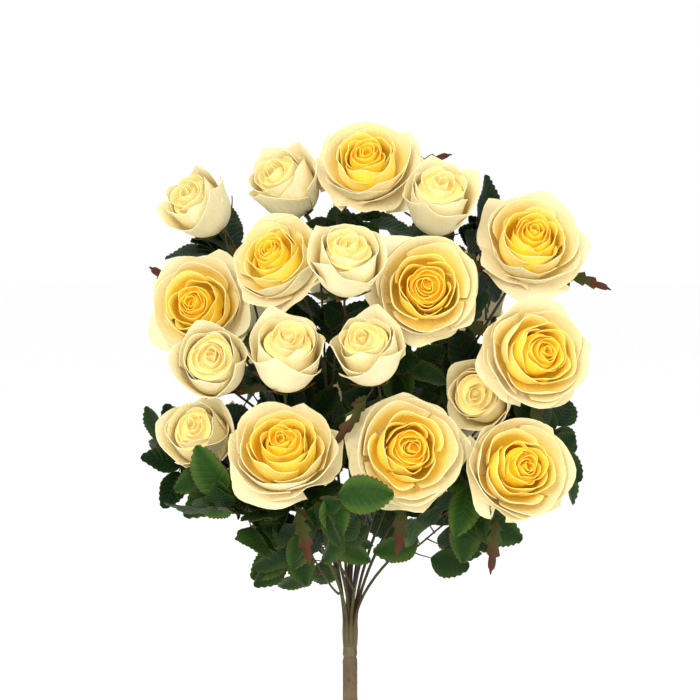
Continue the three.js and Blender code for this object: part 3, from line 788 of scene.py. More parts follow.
def petal_pieces(name, material, petals, cloth):
    """Joins petals, given as (grid, layer, chance), into one piece with the traits of its cloth."""
    grids = np.array([grid for grid, _, _ in petals])
    points, faces, cells = closed_sheets(grids, cloth)
    rows, columns = grids.shape[1:3]
    v, u = np.meshgrid(np.linspace(0, 1, rows), np.linspace(-1, 1, columns), indexing="ij")
    count = len(petals)
    both = 2 * rows * columns
    chance = np.repeat([chance for _, _, chance in petals], both)
    traits = {
        "reach": np.tile(v.ravel(), 2 * count),
        "layer": np.repeat([layer for _, layer, _ in petals], both),
        "chance": chance,
        "outer_face": np.tile(np.repeat([1.0, 0.0], rows * columns), count),
        "cloth": np.c_[np.tile(u.ravel(), 2 * count), np.tile(v.ravel(), 2 * count), chance * 40],
    }
    return make_piece(name, points, faces, material, traits, cells, PETAL_SMOOTH_BELOW)


def grow_petals(head, rows, seed, twist):
    """The petals of one flower, from the outermost to the heart, in one winding."""
    rng = np.random.default_rng(seed)
    step = math.radians(PETAL_STEP) * rng.choice([-1, 1])
    last = sum(row["petals"] for row in rows) - 1
    lean = head["side"] * rng.uniform(-4, 4) + head["top"] * rng.uniform(-3, 4)
    rise = np.linspace(0, 1, PETAL_ROWS)[:, None, None] ** 2
    petals = []
    for row in rows:
        for number in range(row["petals"]):
            middle = math.radians(twist) + step * len(petals) + rng.uniform(-0.12, 0.12)
            grid = petal_grid(head, row, number / max(row["petals"] - 1, 1), middle, rng)
            layer = 1 - len(petals) / last
            petals.append((grid + lean * rise * (1 - layer), layer, rng.uniform(), row["part"]))
    return petals


def petal_finish(name, cream, gold, deep_gold, rim, dyed):
    """Dyed cloth. dyed says how gold a petal is at each layer, from the heart outwards. Deeper gold is
    painted at the root of the inner face as shade in the crevices between petals, and a paler band along the
    rim is a painted highlight."""
    material, tree, shader = finish(name)
    reach, layer = trait(tree, "reach"), trait(tree, "layer")
    layers = node(tree, "ShaderNodeValToRGB", {0: layer})
    points = layers.color_ramp.elements
    for element, (position, amount) in zip(points, (dyed[0], dyed[-1])):
        element.position = position
        element.color = (amount, amount, amount, 1.0)
    for position, amount in dyed[1:-1]:
        points.new(position).color = (amount, amount, amount, 1.0)
    veins = noise(tree, 2.6, 4.0, THREADS, trait(tree, "cloth", "Vector"))
    inward = reckon(tree, "SUBTRACT", 1.0, trait(tree, "outer_face"))
    # Painted shade: deeper gold towards the root of the inner faces, where the crevices between petals lie.
    painted_crevice_shade = spread(tree, reach, 0.97, 0.45)
    painted_crevice_shade = reckon(tree, "MULTIPLY", painted_crevice_shade, reckon(tree, "MULTIPLY_ADD", inward, 0.32, 0.08))
    painted_crevice_shade = reckon(tree, "MULTIPLY", painted_crevice_shade, spread(tree, layer, 0.83, 0.77))
    patch = reckon(tree, "MULTIPLY_ADD", veins, 0.3, -0.15)
    dye_and_painted_shade = reckon(tree, "ADD", reckon(tree, "ADD", layers.outputs[0], painted_crevice_shade), patch)
    colour = laid_over(tree, cream, gold, dye_and_painted_shade, 0.0, 0.9)
    colour = laid_over(tree, colour, deep_gold, dye_and_painted_shade, 0.9, 1.6)
    # Painted highlight: a paler band along each rim, where the cloth's edge catches the light.
    painted_rim_highlight = reckon(tree, "MULTIPLY_ADD", layer, 0.4, 0.12)
    painted_rim_highlight = reckon(tree, "MULTIPLY", painted_rim_highlight, spread(tree, reach, 0.86, 1.0))
    colour = blend_colours(tree, painted_rim_highlight, colour, rim)
    shade = reckon(tree, "MULTIPLY_ADD", trait(tree, "chance"), 0.06, 0.95)
    grey = node(tree, "ShaderNodeCombineColor", {0: shade, 1: shade, 2: shade}).outputs[0]
    colour = blend_colours(tree, 1.0, colour, grey, "MULTIPLY")
    weave = reckon(tree, "MULTIPLY", noise(tree, 2200.0, 1.0), 0.25)
    height = reckon(tree, "MULTIPLY_ADD", veins, 1.0, weave)
    complete(tree, shader, colour, spread(tree, veins, 0.3, 0.7, 0.65, 0.8), 0.12, height, 0.0014, 0.6)
    shader.inputs["Sheen Weight"].default_value = 0.04
    shader.inputs["Subsurface Weight"].default_value = 0.1
    shader.inputs["Subsurface Radius"].default_value = (0.003, 0.002, 0.001)
    shader.inputs["Subsurface Scale"].default_value = 1.0
    return material


CORE_SIDES = 20
CORE_DROP = 10.0
CORE_INSET = 4.0
CORE_TIP = 0.8


def flower_core(head, rows):
    """The foam core that the inner petals are glued round, a little lower than their rims."""
    inner = [row for row in rows if row["lean"][0] > 2]
    reach = np.array([row["reach"][1] for row in inner])
    height = np.array([row["height"][1] for row in inner]) - CORE_DROP
    reach = np.maximum(np.r_[0.3 * reach[0], 0.6 * reach[0], reach - CORE_INSET], CORE_TIP)
    height = np.r_[0.25 * height[0], 0.6 * height[0], height]
    angle = np.linspace(0, 2 * np.pi, CORE_SIDES, endpoint=False)[None, :]
    return closed_rings(around(head, reach[:, None], height[:, None] + 0 * angle, angle))


def core_finish(name, colour):
    material, tree, shader = finish(name)
    cells = noise(tree, 900.0)
    tinted = laid_over(tree, colour, linear(240, 160, 20), cells, 0.35, 0.65, 0.12)
    complete(tree, shader, tinted, spread(tree, cells, 0.3, 0.7, 0.75, 0.85), 0.1, cells, 0.0004)
    return material


def add_cores(name, flowers, rows, colour):
    points, faces = join([flower_core(heads[flower], rows) for flower in flowers])
    piece = make_piece(name, points, faces, core_finish(name + "_foam", colour))
    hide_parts(*flowers)
    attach(piece, "root")


open_petals = {"guard": [], "cup": [], "middle": [], "heart": []}
for number, head in enumerate(h for h in heads.values() if h["open"]):
    for grid, layer, chance, kind in grow_petals(head, OPEN_ROWS, 100 + number, 40 * number):
        open_petals[kind].append((grid, layer, chance))
gold_cloth = petal_finish(
    "gold_and_cream_cloth",
    cream=linear(243, 231, 192),
    gold=linear(255, 232, 84),
    deep_gold=linear(255, 219, 8),
    # rim is the colour of the painted highlight along the petal edges
    rim=linear(250, 238, 178),
    dyed=[
        (0.0, 1.75), (0.3, 1.4), (0.42, 0.95), (0.52, 0.6), (0.6, 0.34), (0.66, 0.16), (0.8, 0.05),
        (0.85, 0.0), (1.0, 0.0),
    ],
)
open_roses = [head["name"] for head in heads.values() if head["open"]]
add_cores("open_rose_cores", open_roses, OPEN_ROWS, linear(253, 206, 52))
for kind, petals in open_petals.items():
    piece = petal_pieces("open_rose_" + kind + "_petals", gold_cloth, petals, PETAL_CLOTH[kind])
    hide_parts(*open_roses)
    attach(piece, "root")

# ---- Petals of the half-open roses -----------------------------------------------------------------
# Paler cloth in the same way: six wide petals wrap the goblet, the outer three with a turned-out
# point, and the rest stand close inside it.

BUD_ROWS = [
    {
        "part": "goblet", "petals": 3, "reach": (28, 26.5), "height": (56, 57.5), "belly": (35, 34.5),
        "belly_height": (9, 10), "half": (78, 76), "lean": (0.4, 1), "turned": (8, 6), "turn_from": 0.7,
        "side": (0.4, 1), "fall": 0.22, "round": 1.2, "point": 0.05, "wave": 1.4, "jitter": 0.04,
    },
    {
        "part": "goblet", "petals": 3, "reach": (25.5, 24), "height": (55.5, 58), "belly": (33.5, 32),
        "belly_height": (11, 13), "half": (76, 74), "lean": (2.2, 3), "turned": (2, 1.4), "turn_from": 0.8,
        "side": (1.6, 2.4), "fall": 0.15, "round": 1.6, "point": 0.02, "wave": 1.4, "jitter": 0.05,
    },
    {
        "part": "throat", "petals": 8, "reach": (24, 2.8), "height": (57.5, 60.5), "belly": (30, 6),
        "belly_height": (15, 28), "half": (78, 150), "lean": (2.6, 0), "turned": (1.8, 0.3),
        "turn_from": 0.84, "side": (3, 0.8), "fall": 0.14, "round": 2.0, "point": 0.0, "wave": 1.1,
        "jitter": 0.1,
    },
]

bud_petals = []
for number, head in enumerate(h for h in heads.values() if not h["open"]):
    for grid, layer, chance, _ in grow_petals(head, BUD_ROWS, 300 + number, 50 * number):
        bud_petals.append((grid, layer, chance))
pale_cloth = petal_finish(
    "pale_yellow_cloth",
    cream=linear(240, 228, 184),
    gold=linear(250, 232, 148),
    deep_gold=linear(250, 222, 112),
    # rim is the colour of the painted highlight along the petal edges
    rim=linear(248, 238, 196),
    dyed=[(0.0, 0.7), (0.4, 0.5), (0.7, 0.2), (1.0, 0.0)],
)
half_open = [head["name"] for head in heads.values() if not head["open"]]
add_cores("half_open_rose_cores", half_open, BUD_ROWS, linear(246, 226, 150))
piece = petal_pieces("half_open_rose_petals", pale_cloth, bud_petals, 0.5)
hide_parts(*half_open)
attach(piece, "root")

# ---- Sepals -----------------------------------------------------------------------------------------
# Five green cloth sepals glued under each flower, toothed at the sides, with thin brown tips that
# stand off a little.

SEPALS = 5
SEPAL_HALF_WIDTH = 6.0
SEPAL_ROWS = 15
SEPAL_COLUMNS = 5
SEPAL_ROOT = 0.07
OPEN_SEPAL_REACH = (0.22, 0.3)
BUD_SEPAL_REACH = (0.38, 0.5)
SEPAL_STAND = 1.9
SEPAL_TIP_STAND = 5
# where along the sepal, and the share of its full width there
SEPAL_OUTLINE = [
    (0.0, 0.45), (0.12, 0.8), (0.28, 1.0), (0.34, 0.72), (0.44, 0.86), (0.5, 0.46), (0.6, 0.4), (0.66, 0.2),
    (0.8, 0.17), (0.93, 0.2), (1.0, 0.05),
]


def sepal_grid(head, middle, rng):
    """A sepal follows the outside of the outermost petals."""
    row = (OPEN_ROWS if head["open"] else BUD_ROWS)[0]
    root, root_height = PETAL_ROOT
    s = np.linspace(0, 1, SEPAL_ROWS)[:, None]
    u = np.linspace(-1, 1, SEPAL_COLUMNS)[None, :]
    t = SEPAL_ROOT + s * rng.uniform(*(OPEN_SEPAL_REACH if head["open"] else BUD_SEPAL_REACH))
    out, out_way = bow(root, row["belly"][0], row["reach"][0], t)
    up, up_way = bow(root_height, row["belly_height"][0], row["height"][0], t)
    half = SEPAL_HALF_WIDTH * np.interp(s, *zip(*SEPAL_OUTLINE))
    stand = SEPAL_STAND + rng.uniform(0, SEPAL_TIP_STAND) * np.clip((s - 0.5) / 0.5, 0, 1) ** 2
    steep = np.arctan2(up_way, out_way)
    out = out + stand * np.sin(steep)
    up = up - stand * np.cos(steep)
    angle = middle + u * half / out + 0.15 * rng.uniform(-1, 1) * s**2
    return around(head, out + 0 * u, up + 0 * u, angle)


rng = np.random.default_rng(11)
sepals = []
for head in heads.values():
    for place in range(SEPALS):
        middle = 2 * math.pi * (place + 0.5) / SEPALS + math.radians(head["clock"] or 0)
        sepals.append((sepal_grid(head, middle, rng), 0.0, rng.uniform()))
piece = petal_pieces("sepals", calyx_green, sepals, 0.5)
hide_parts(*heads)
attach(piece, "root")

# ---- Young leaves ----------------------------------------------------------------------------------
# One slim, deeply toothed leaf of red-brown cloth, green at its root, stands on a thin stalk from
# the neck of most flowers, with a small green one beside it.

YOUNG_STALK = 34
YOUNG_ROOM = 40
YOUNG_LENGTH = 50
YOUNG_STALK_END = 4
YOUNG_HALF_WIDTH = 8.0
GREEN_ONE_LENGTH = 17.0
GREEN_ONE_HALF_WIDTH = 4.0
YOUNG_STALK_RADII = [0.8, 0.7, 0.5]
YOUNG_ROWS = 27
YOUNG_COLUMNS = 5
YOUNG_LOBES = 4.5


def young_leaf_place(head):
    """The start and end of a young leaf's stalk, and the way it points."""
    angle = math.radians(90 - head["clock"])
    out = head["side"] * math.cos(angle) + head["top"] * math.sin(angle)
    way = unit(out + head["axis"] * (-0.05 if head["open"] else -0.2))
    base = head["base"] - head["axis"] * NECK * 0.6
    end = base + way * YOUNG_STALK * head["size"] * (1 if head["open"] else 0.5)
    return base, end, way


def young_leaf_grid(base, way, normal, length, half_width, rng):
    """A slim leaf with a saw-toothed edge, a bend and a sideways sway."""
    s = np.linspace(0, 1, YOUNG_ROWS)[:, None]
    u = np.linspace(-1, 1, YOUNG_COLUMNS)[None, :]
    saw = (s * YOUNG_LOBES) % 1.0
    half = half_width * np.sin(np.pi * s**0.75) ** 0.8 * (0.45 + 0.55 * saw) + 0.25
    across = np.cross(normal, way)
    bend = -rng.uniform(0.02, 0.16) * length * s**2 + rng.uniform(0.15, 0.5) * np.abs(u) * half
    bend = bend + 0.6 * np.sin(s * 14 + rng.uniform(0, 6)) * np.abs(u)
    sway = rng.uniform(-0.1, 0.1) * length * s**2
    return (
        base
        + way * (length * s + 0 * u)[..., None]
        + across * (half * u + sway)[..., None]
        + normal * bend[..., None]
    )


rng = np.random.default_rng(12)
young = []
young_stalks = []
for head in heads.values():
    if head["clock"] is None:
        continue
    base, end, way = young_leaf_place(head)
    normal = square_to(way, head["axis"])
    tip = end + way * YOUNG_STALK_END
    grid = young_leaf_grid(tip, way, normal, YOUNG_LENGTH, YOUNG_HALF_WIDTH, rng)
    young.append((grid, 0.0, rng.uniform()))
    side = unit(way + np.cross(normal, way) * rng.choice([-0.7, 0.7]))
    grid = young_leaf_grid(end, side, normal, GREEN_ONE_LENGTH, GREEN_ONE_HALF_WIDTH, rng)
    young.append((grid, 1.0, rng.uniform()))
    young_stalks.append(([base, (base + end) / 2, tip + way * 3], YOUNG_STALK_RADII))
young_cloth = calyx_finish("young_leaf_cloth", linear(60, 62, 24), linear(82, 36, 28))
piece = petal_pieces("young_leaves", young_cloth, young, 0.5)
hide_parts(*[name for name, head in heads.items() if head["clock"] is not None])
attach(piece, "root")

# ---- Leafy shoots ----------------------------------------------------------------------------------
# Thin coated wires that branch off the stems and end in sets of up to three stalked leaves. A leaf
# grows only where it has room between the flowers, wires and other leaves.

FOOT_HEIGHT = 200
FOOT_RADIUS = 75
SHOOT_RADII = (1.1, 0.8)
SHOOT_FOOT_RADIUS = 1.0
SHOOT_SWELL = (0.4, 0.06)
SHOOT_STEPS = 18
PETIOLE_RADIUS = 0.7
PETIOLE_RADII = [0.85, 0.65, 0.55]
PETIOLE_SAG = np.array([0, 0, -0.6])
# in degrees, the least lean to the side and how much a draw adds to it
PETIOLE_LEAN = (40, 40)
PETIOLE_RISE = 0.8
LEVEL_SHARE = 0.35
TWIG_SIDES = 7
TWIG_RELIEF = 0.2
YOUNG_LEAF_RADIUS = 5.0
SHOOT_CENTRE = np.array([0, 10, 330])
LEAF_LENGTH = 45
LEAF_WIDTH = 32
LEAF_DROOP = 0.16
LEAF_FOLD = 0.2
BACK_HALF = -30
HEAD_MARGIN = 2.2
LIMB_MARGIN = 3.2
LEAF_MARGIN = 5
SAME_SHOOT_MARGIN = 3
STALK_MARGIN = 2
SIDE_LEAF_ANGLE = 76
SIDE_LEAF_BACK = 9
SIDE_LEAF_SIZE = 0.86
ANGLE_SPREAD = 12
# the least, and how much a draw adds to it
LEAF_SIZES = (0.86, 0.26)
LEAF_DROOPS = (0.4, 1.2)
LEAF_LIFT = 0.3
LEAF_TILT = 0.7
LEAF_TRIES = 8
STALK_SINK = 1.2

# name, the stem that carries it and how far along, across, up and fore of the middle of its end leaf
# on a sight line, and the clock angle that it points to
SHOOTS = [
    ("leaves_01", "rose_07", 0.2, -81, 175, 62, 236),
    ("leaves_02", "rose_08", 0.2, 2, 190, 62, 125),
    ("leaves_03", "rose_07", 0.4, -29, 215, 95, 150),
    ("leaves_04", "rose_08", 0.52, 14, 244, 172, 85),
    ("leaves_05", "bud_09", 0.35, -134, 263, 128, -38),
    ("leaves_06", "rose_05", 0.32, -152, 257, 60, 250),
    ("leaves_07", "rose_07", 0.36, -78, 206, 85, 265),
    ("leaves_08", "rose_09", 0.6, 108, 227, 95, 190),
    ("leaves_09", "rose_09", 0.34, 141, 211, 42, 110),
    ("leaves_10", "rose_09", 0.8, 207, 262, 30, 160),
    ("leaves_11", "rose_04", 0.55, 76, 362, 58, 95),
    ("leaves_12", "rose_06", 0.6, 157, 335, 15, 190),
    ("leaves_13", "bud_05", 0.45, -104, 335, 42, 240),
    ("leaves_14", "bud_01", 0.7, -150, 476, -6, 275),
    ("leaves_15", "rose_02", 0.75, 130, 520, 8, 10),
    ("leaves_16", "rose_05", 0.48, -186, 312, 25, 320),
    ("leaves_17", "rose_01", 0.72, 40, 498, 20, 100),
    ("leaves_18", "bud_06", 0.5, -40, 428, 12, 320),
    ("leaves_19", "rose_11", 0.5, 150, 372, -60, 80),
    ("leaves_20", "rose_10", 0.5, -70, 340, -95, 200),
    ("leaves_21", "rose_12", 0.4, 30, 215, -85, 150),
    ("leaves_22", "rose_11", 0.75, 40, 500, -70, 330),
]
# where a set of leaves leaves its shoot, to which side, how long its stalk is, the leaves' size, and
# by how much its gaps may be smaller
MAIN_SETS = [(1, 0, 12, 1.0, 1.0), (0.68, 1, 24, 1.0, 1.0), (0.36, -1, 24, 1.0, 1.0)]
FINE_SETS = [
    (0.9, -1, 20, 0.9, 0.3), (0.55, -1, 22, 0.9, 0.3), (0.8, 1, 18, 0.85, 0.3), (0.25, 1, 20, 0.85, 0.3),
    (0.45, 1, 20, 0.8, 0.25), (0.7, -1, 14, 0.75, 0.25), (0.95, 1, 14, 0.7, 0.25), (0.15, -1, 16, 0.7, 0.25),
]

# height over the base of a head, and how far it reaches out there
ROSE_ROOM = [(-16, 4), (0, 10), (6, 16), (12, 34), (18, 53), (29, 53), (34, 42), (47, 40), (56, 24)]
BUD_ROOM = [(-16, 4), (0, 10), (8, 17), (20, 27), (44, 34), (57, 37), (60, 34), (66, 20)]
LEAF_SAMPLES = [(s, u) for s in (0.1, 0.24, 0.38, 0.52, 0.66, 0.8, 0.92, 1) for u in (-1, -0.5, 0, 0.5, 1)]


def seeded(seed):
    """Draws from 0 to 1. A seed always gives the same ones, so the large leaves stay in place."""
    state = seed

    def draw():
        nonlocal state
        state = (state * 1664525 + 1013904223) & 0xFFFFFFFF
        return state / 4294967296

    return draw


def leaf_outline(s):
    """The share of its full width that a leaf has at s of its length."""
    return np.sin(np.pi * s**0.8) ** 0.75


def on_leaf(leaf, s, u):
    """The point at s of a leaf's length and u of its half width."""
    half = leaf["width"] / 2 * leaf_outline(s) * u
    back = -leaf["droop"] * leaf["length"] * s * s + LEAF_FOLD * abs(half)
    return leaf["base"] + leaf["along"] * leaf["length"] * s + leaf["across"] * half + leaf["normal"] * back


def clear_of_heads(samples, margin):
    for head in heads.values():
        off = (samples - head["base"]) / head["size"]
        height = off @ head["axis"]
        heights, radii = zip(*(ROSE_ROOM if head["open"] else BUD_ROOM))
        out = np.linalg.norm(off - height[:, None] * head["axis"], axis=1)
        near = (height >= heights[0] - margin) & (height <= heights[-1] + margin)
        room = np.interp(np.maximum(height, heights[0]), heights, radii, right=0) + margin
        if np.any(near & (out < room)):
            return False
    return True


rods = {"start": [], "end": [], "radius": [], "shoot": []}


def add_rods(points, radius, shoot):
    for start, end in zip(points, points[1:]):
        for key, value in zip(rods, (start, end, radius, shoot)):
            rods[key].append(value)


def clear_of_rods(samples, margin, shoot):
    start, end = np.array(rods["start"]), np.array(rods["end"])
    run = end - start
    off = samples[:, None] - start
    share = np.clip((off * run).sum(axis=2) / (run * run).sum(axis=1), 0, 1)
    gap = np.linalg.norm(off - run * share[..., None], axis=2) - np.array(rods["radius"])
    others = np.array([one != shoot for one in rods["shoot"]])
    return bool(np.all(gap[:, others] > margin))


for limb in limbs.values():
    add_rods(limb["points"], limb["radii"][0], None)
for head in heads.values():
    if head["clock"] is not None:
        base, end, way = young_leaf_place(head)
        add_rods([base, end], PETIOLE_RADIUS, None)
        add_rods([end, end + way * YOUNG_ROOM], YOUNG_LEAF_RADIUS, None)

placed_leaves = []


def clear_of_leaves(samples, middle, reach, shoot, leaf_set, tightness):
    for other in placed_leaves:
        if other["shoot"] == shoot and other["set"] == leaf_set:
            continue
        margin = (SAME_SHOOT_MARGIN if other["shoot"] == shoot else LEAF_MARGIN) * tightness
        if np.linalg.norm(other["middle"] - middle) > other["reach"] + reach + margin:
            continue
        gaps = np.linalg.norm(samples[:, None] - other["samples"], axis=2)
        if gaps.min() <= margin:
            return False
    return True


def leaf_fits(leaf, shoot, leaf_set, tightness):
    samples = np.array([on_leaf(leaf, s, u) for s, u in LEAF_SAMPLES])
    middle = on_leaf(leaf, 0.5, 0)
    reach = leaf["length"] * 0.6
    off_axis = np.linalg.norm(samples[:, :2], axis=1)
    fits = (
        (leaf["large"] or not np.any((samples[:, 2] < FOOT_HEIGHT) & (off_axis < FOOT_RADIUS)))
        and clear_of_heads(samples, HEAD_MARGIN)
        and clear_of_rods(samples, LIMB_MARGIN * tightness, shoot)
        and clear_of_leaves(samples, middle, reach, shoot, leaf_set, tightness)
    )
    if fits:
        placed_leaves.append(
            {"shoot": shoot, "set": leaf_set, "samples": samples, "middle": middle, "reach": reach}
        )
    return fits


def stalk_fits(start, end, shoot, leaf_set, tightness):
    samples = np.array([start * (1 - t) + end * t for t in (0.4, 0.7, 1)])
    length = np.linalg.norm(end - start)
    return (
        clear_of_heads(samples, STALK_MARGIN)
        and clear_of_rods(samples, STALK_MARGIN * tightness, shoot)
        and clear_of_leaves(samples, samples[1], length, shoot, leaf_set, tightness)
    )


def place_shoot(index, name, carrier, t, across, up, fore, clock):
    """A shoot from its stem to its end leaf, with no leaves on it so far."""
    front = -1 if fore < BACK_HALF else 1
    angle = math.radians(clock)
    pointing = unit(np.array([math.sin(angle), -0.2 * front, math.cos(angle)]))
    tip = on_sight_line(across, up, fore) - pointing * (LEAF_LENGTH / 2 + MAIN_SETS[0][2])
    carrier = limbs[carrier]
    arriving = unit(pointing + unit(tip - on_pieces(carrier, t)) * 0.5)
    limb = side_limb(carrier, t, tip, arriving, SHOOT_RADII)
    add_rods(limb["points"], SHOOT_RADII[0], name)
    facing = unit(tip - SHOOT_CENTRE) + np.array([0, -0.6 * front, 0.5])
    return {
        "name": name, "limb": limb, "pointing": pointing, "facing": facing,
        "random": seeded(7919 * (index + 1)), "petioles": [], "leaves": [],
    }


def grow_leaves(name, leaf_set, end, way, face, random):
    """The leaves of one set that have room: an end leaf and one to each side."""
    grown = []
    across = np.cross(way, square_to(way, face))
    for side in (0, 1, -1):
        angle = math.radians(side * (SIDE_LEAF_ANGLE + ANGLE_SPREAD * (random() - 0.5)))
        size = (SIDE_LEAF_SIZE if side else 1) * (LEAF_SIZES[0] + LEAF_SIZES[1] * random()) * leaf_set[3]
        along = way * math.cos(angle) + across * math.sin(angle)
        along = unit(along + face * LEAF_LIFT * (random() - 0.5))
        tilted = face + np.array([random() - 0.5, random() - 0.5, random() - 0.5]) * LEAF_TILT
        normal = square_to(along, tilted)
        leaf = {
            "base": end - way * (SIDE_LEAF_BACK * leaf_set[3] if side else 0),
            "along": along,
            "normal": normal,
            "across": np.cross(normal, along),
            "length": LEAF_LENGTH * size,
            "width": LEAF_WIDTH * size,
            "droop": LEAF_DROOP * (LEAF_DROOPS[0] + LEAF_DROOPS[1] * random()),
            "size": size,
            "large": leaf_set in MAIN_SETS,
        }
        if leaf_fits(leaf, name, leaf_set, leaf_set[4]):
            grown.append(leaf)
    return grown


def grow_set(made, leaf_set):
    """Tries a few ways for the stalk of a set, and keeps the first on which a leaf has room."""
    at, side, petiole, _, tightness = leaf_set
    name, limb, random = made["name"], made["limb"], made["random"]
    start = on_pieces(limb, at)
    along = way_along(limb, at) if side else made["pointing"]
    face = square_to(along, made["facing"])
    across = np.cross(along, face)
    for _ in range(LEAF_TRIES if side else 1):
        lean = math.radians(side * (PETIOLE_LEAN[0] + PETIOLE_LEAN[1] * random()))
        rise = PETIOLE_RISE * (random() - LEVEL_SHARE) if side else 0
        way = unit(along * math.cos(lean) + across * math.sin(lean) + face * rise)
        end = start + way * petiole
        fits = stalk_fits(start, end, name, leaf_set, tightness)
        grown = grow_leaves(name, leaf_set, end, way, face, random) if fits else []
        if grown:
            made["petioles"].append((start - way * STALK_SINK, end))
            made["leaves"].extend(grown)
            add_rods([start, end], PETIOLE_RADIUS, name)
            return


shoots = [place_shoot(index, *row) for index, row in enumerate(SHOOTS)]
for leaf_set in MAIN_SETS + FINE_SETS:
    for made in shoots:
        grow_set(made, leaf_set)

twig_runs = list(young_stalks)
for made in shoots:
    foot = [(made["limb"]["fork"], SHOOT_FOOT_RADIUS)]
    twig_runs.append(wire_run(made["limb"], SHOOT_STEPS, foot, SHOOT_RADII, SHOOT_SWELL))
    for start, end in made["petioles"]:
        twig_runs.append(([start, (start + end) / 2 + PETIOLE_SAG, end], PETIOLE_RADII))
twig_coat = stem_finish("twig_coat", linear(74, 74, 38), linear(74, 44, 30))
twigs = coated_wires("twigs", twig_runs, TWIG_SIDES, TWIG_RELIEF, twig_coat)
leafy = [row[0] for row in SHOOTS]
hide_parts(*leafy)
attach(twigs, "root")

# ---- Leaves ----------------------------------------------------------------------------------------
# Rose leaves of green cloth, pressed with herringbone veins, toothed round the edge, and sprayed
# paler towards the margin and brown along it. Each is glued to the end of its stalk.

# name, rows and columns of a blade, whether it has the leaves of the main sets, and its palest tint, which is
# lowered for the small leaves inside the bush as painted shade
LEAF_KINDS = [("large_leaves", (25, 7), True, 1.0), ("small_leaves", (17, 3), False, 0.4)]
BLADE_CLOTH = 0.45
BLADE_BENDS = (0.07, 0.12, 0.17, 0.22)
BLADE_END_WIDTH = 0.3
TOOTH_OUT = 1.1
TOOTH_FORWARD = 0.9
BLADE_WAVE = 0.9
LEAF_RIBS = 8
RIB_SLANT = 0.2


def leaf_blade(name, bend, rows, columns, seed):
    """One blade of full size, lying along +Y with its face up."""
    rng = np.random.default_rng(seed)
    s = np.linspace(0, 1, rows)[:, None]
    u = np.linspace(-1, 1, columns)[None, :]
    tooth = np.where(np.arange(rows)[:, None] % 2 == 1, 1.0, 0.0) * (np.abs(u) > 0.9)
    outline = leaf_outline(np.clip(s, 0.004, 0.996))
    half = LEAF_WIDTH / 2 * outline * (1 - 0.02 * np.abs(u)) + BLADE_END_WIDTH
    x = u * half + np.sign(u) * tooth * TOOTH_OUT
    y = LEAF_LENGTH * s + tooth * TOOTH_FORWARD + 0 * u
    z = -bend * LEAF_LENGTH * s**2 + LEAF_FOLD * np.abs(x) + 0 * u
    phase = s * rng.uniform(9, 13) + rng.uniform(0, 6) + 1.2 * np.sign(u)
    z = z + BLADE_WAVE * np.sin(phase) * np.abs(u) ** 2
    z = z + rng.uniform(-0.06, 0.06) * x * s * 3
    grid = np.stack([x, y, z], axis=-1)[None]
    points, faces, cells = closed_sheets(grid, BLADE_CLOTH)
    cells = cells * [1, 2]
    side = np.repeat([1.0, 0.0], rows * columns)
    v, w = np.meshgrid(s.ravel(), u.ravel(), indexing="ij")
    blade = np.c_[np.tile(w.ravel(), 2), np.tile(v.ravel(), 2), side]
    return make_piece(name, points, faces, leaf_cloth, {"blade": blade}, cells)


def leaf_finish():
    """Two greens with paler ribs, a brown margin and a dull underside. The blade trait holds how far
    a point is across and along its leaf, and which face it is on."""
    material, tree, shader = finish("leaf_cloth")
    tint = trait(tree, "tint")
    blade = node(tree, "ShaderNodeSeparateXYZ", {0: trait(tree, "blade", "Vector")}).outputs
    off = reckon(tree, "ABSOLUTE", blade["X"])
    rows = reckon(tree, "SUBTRACT", blade["Y"], reckon(tree, "MULTIPLY", off, RIB_SLANT))
    ribs = reckon(tree, "COSINE", reckon(tree, "MULTIPLY", rows, 2 * math.pi * LEAF_RIBS))
    ribs = reckon(tree, "POWER", reckon(tree, "MULTIPLY_ADD", ribs, 0.5, 0.5), 4.0)
    veins = reckon(tree, "MAXIMUM", ribs, spread(tree, off, 0.07, 0.0))
    mottle = noise(tree, 140.0, 4.0)
    # A low tint gives the deep greens. The small leaves inside the bush have it as painted shade.
    deep = blend_colours(tree, tint, linear(5, 28, 4), linear(32, 62, 10))
    pale = blend_colours(tree, tint, linear(15, 44, 7), linear(68, 95, 30))
    outward = reckon(tree, "MULTIPLY_ADD", mottle, 0.5, off)
    colour = laid_over(tree, deep, pale, outward, 0.55, 1.2, 0.75)
    colour = blend_colours(tree, reckon(tree, "MULTIPLY", veins, 0.08), colour, linear(64, 93, 28))
    colour = laid_over(tree, colour, linear(16, 40, 14), mottle, 0.5, 0.8, 0.5)
    margin = reckon(tree, "MULTIPLY_ADD", mottle, 0.1, off)
    colour = laid_over(tree, colour, linear(88, 64, 36), margin, 0.95, 1.04, 0.6)
    under = reckon(tree, "MULTIPLY", reckon(tree, "SUBTRACT", 1.0, blade["Z"]), 0.6)
    colour = blend_colours(tree, under, colour, linear(44, 66, 30))
    fine = noise(tree, 900.0, 2.0)
    height = reckon(tree, "MULTIPLY_ADD", fine, 0.3, reckon(tree, "MULTIPLY", veins, -1.0))
    complete(tree, shader, colour, spread(tree, mottle, 0.3, 0.7, 0.44, 0.6), 0.12, height, 0.00035)
    return material


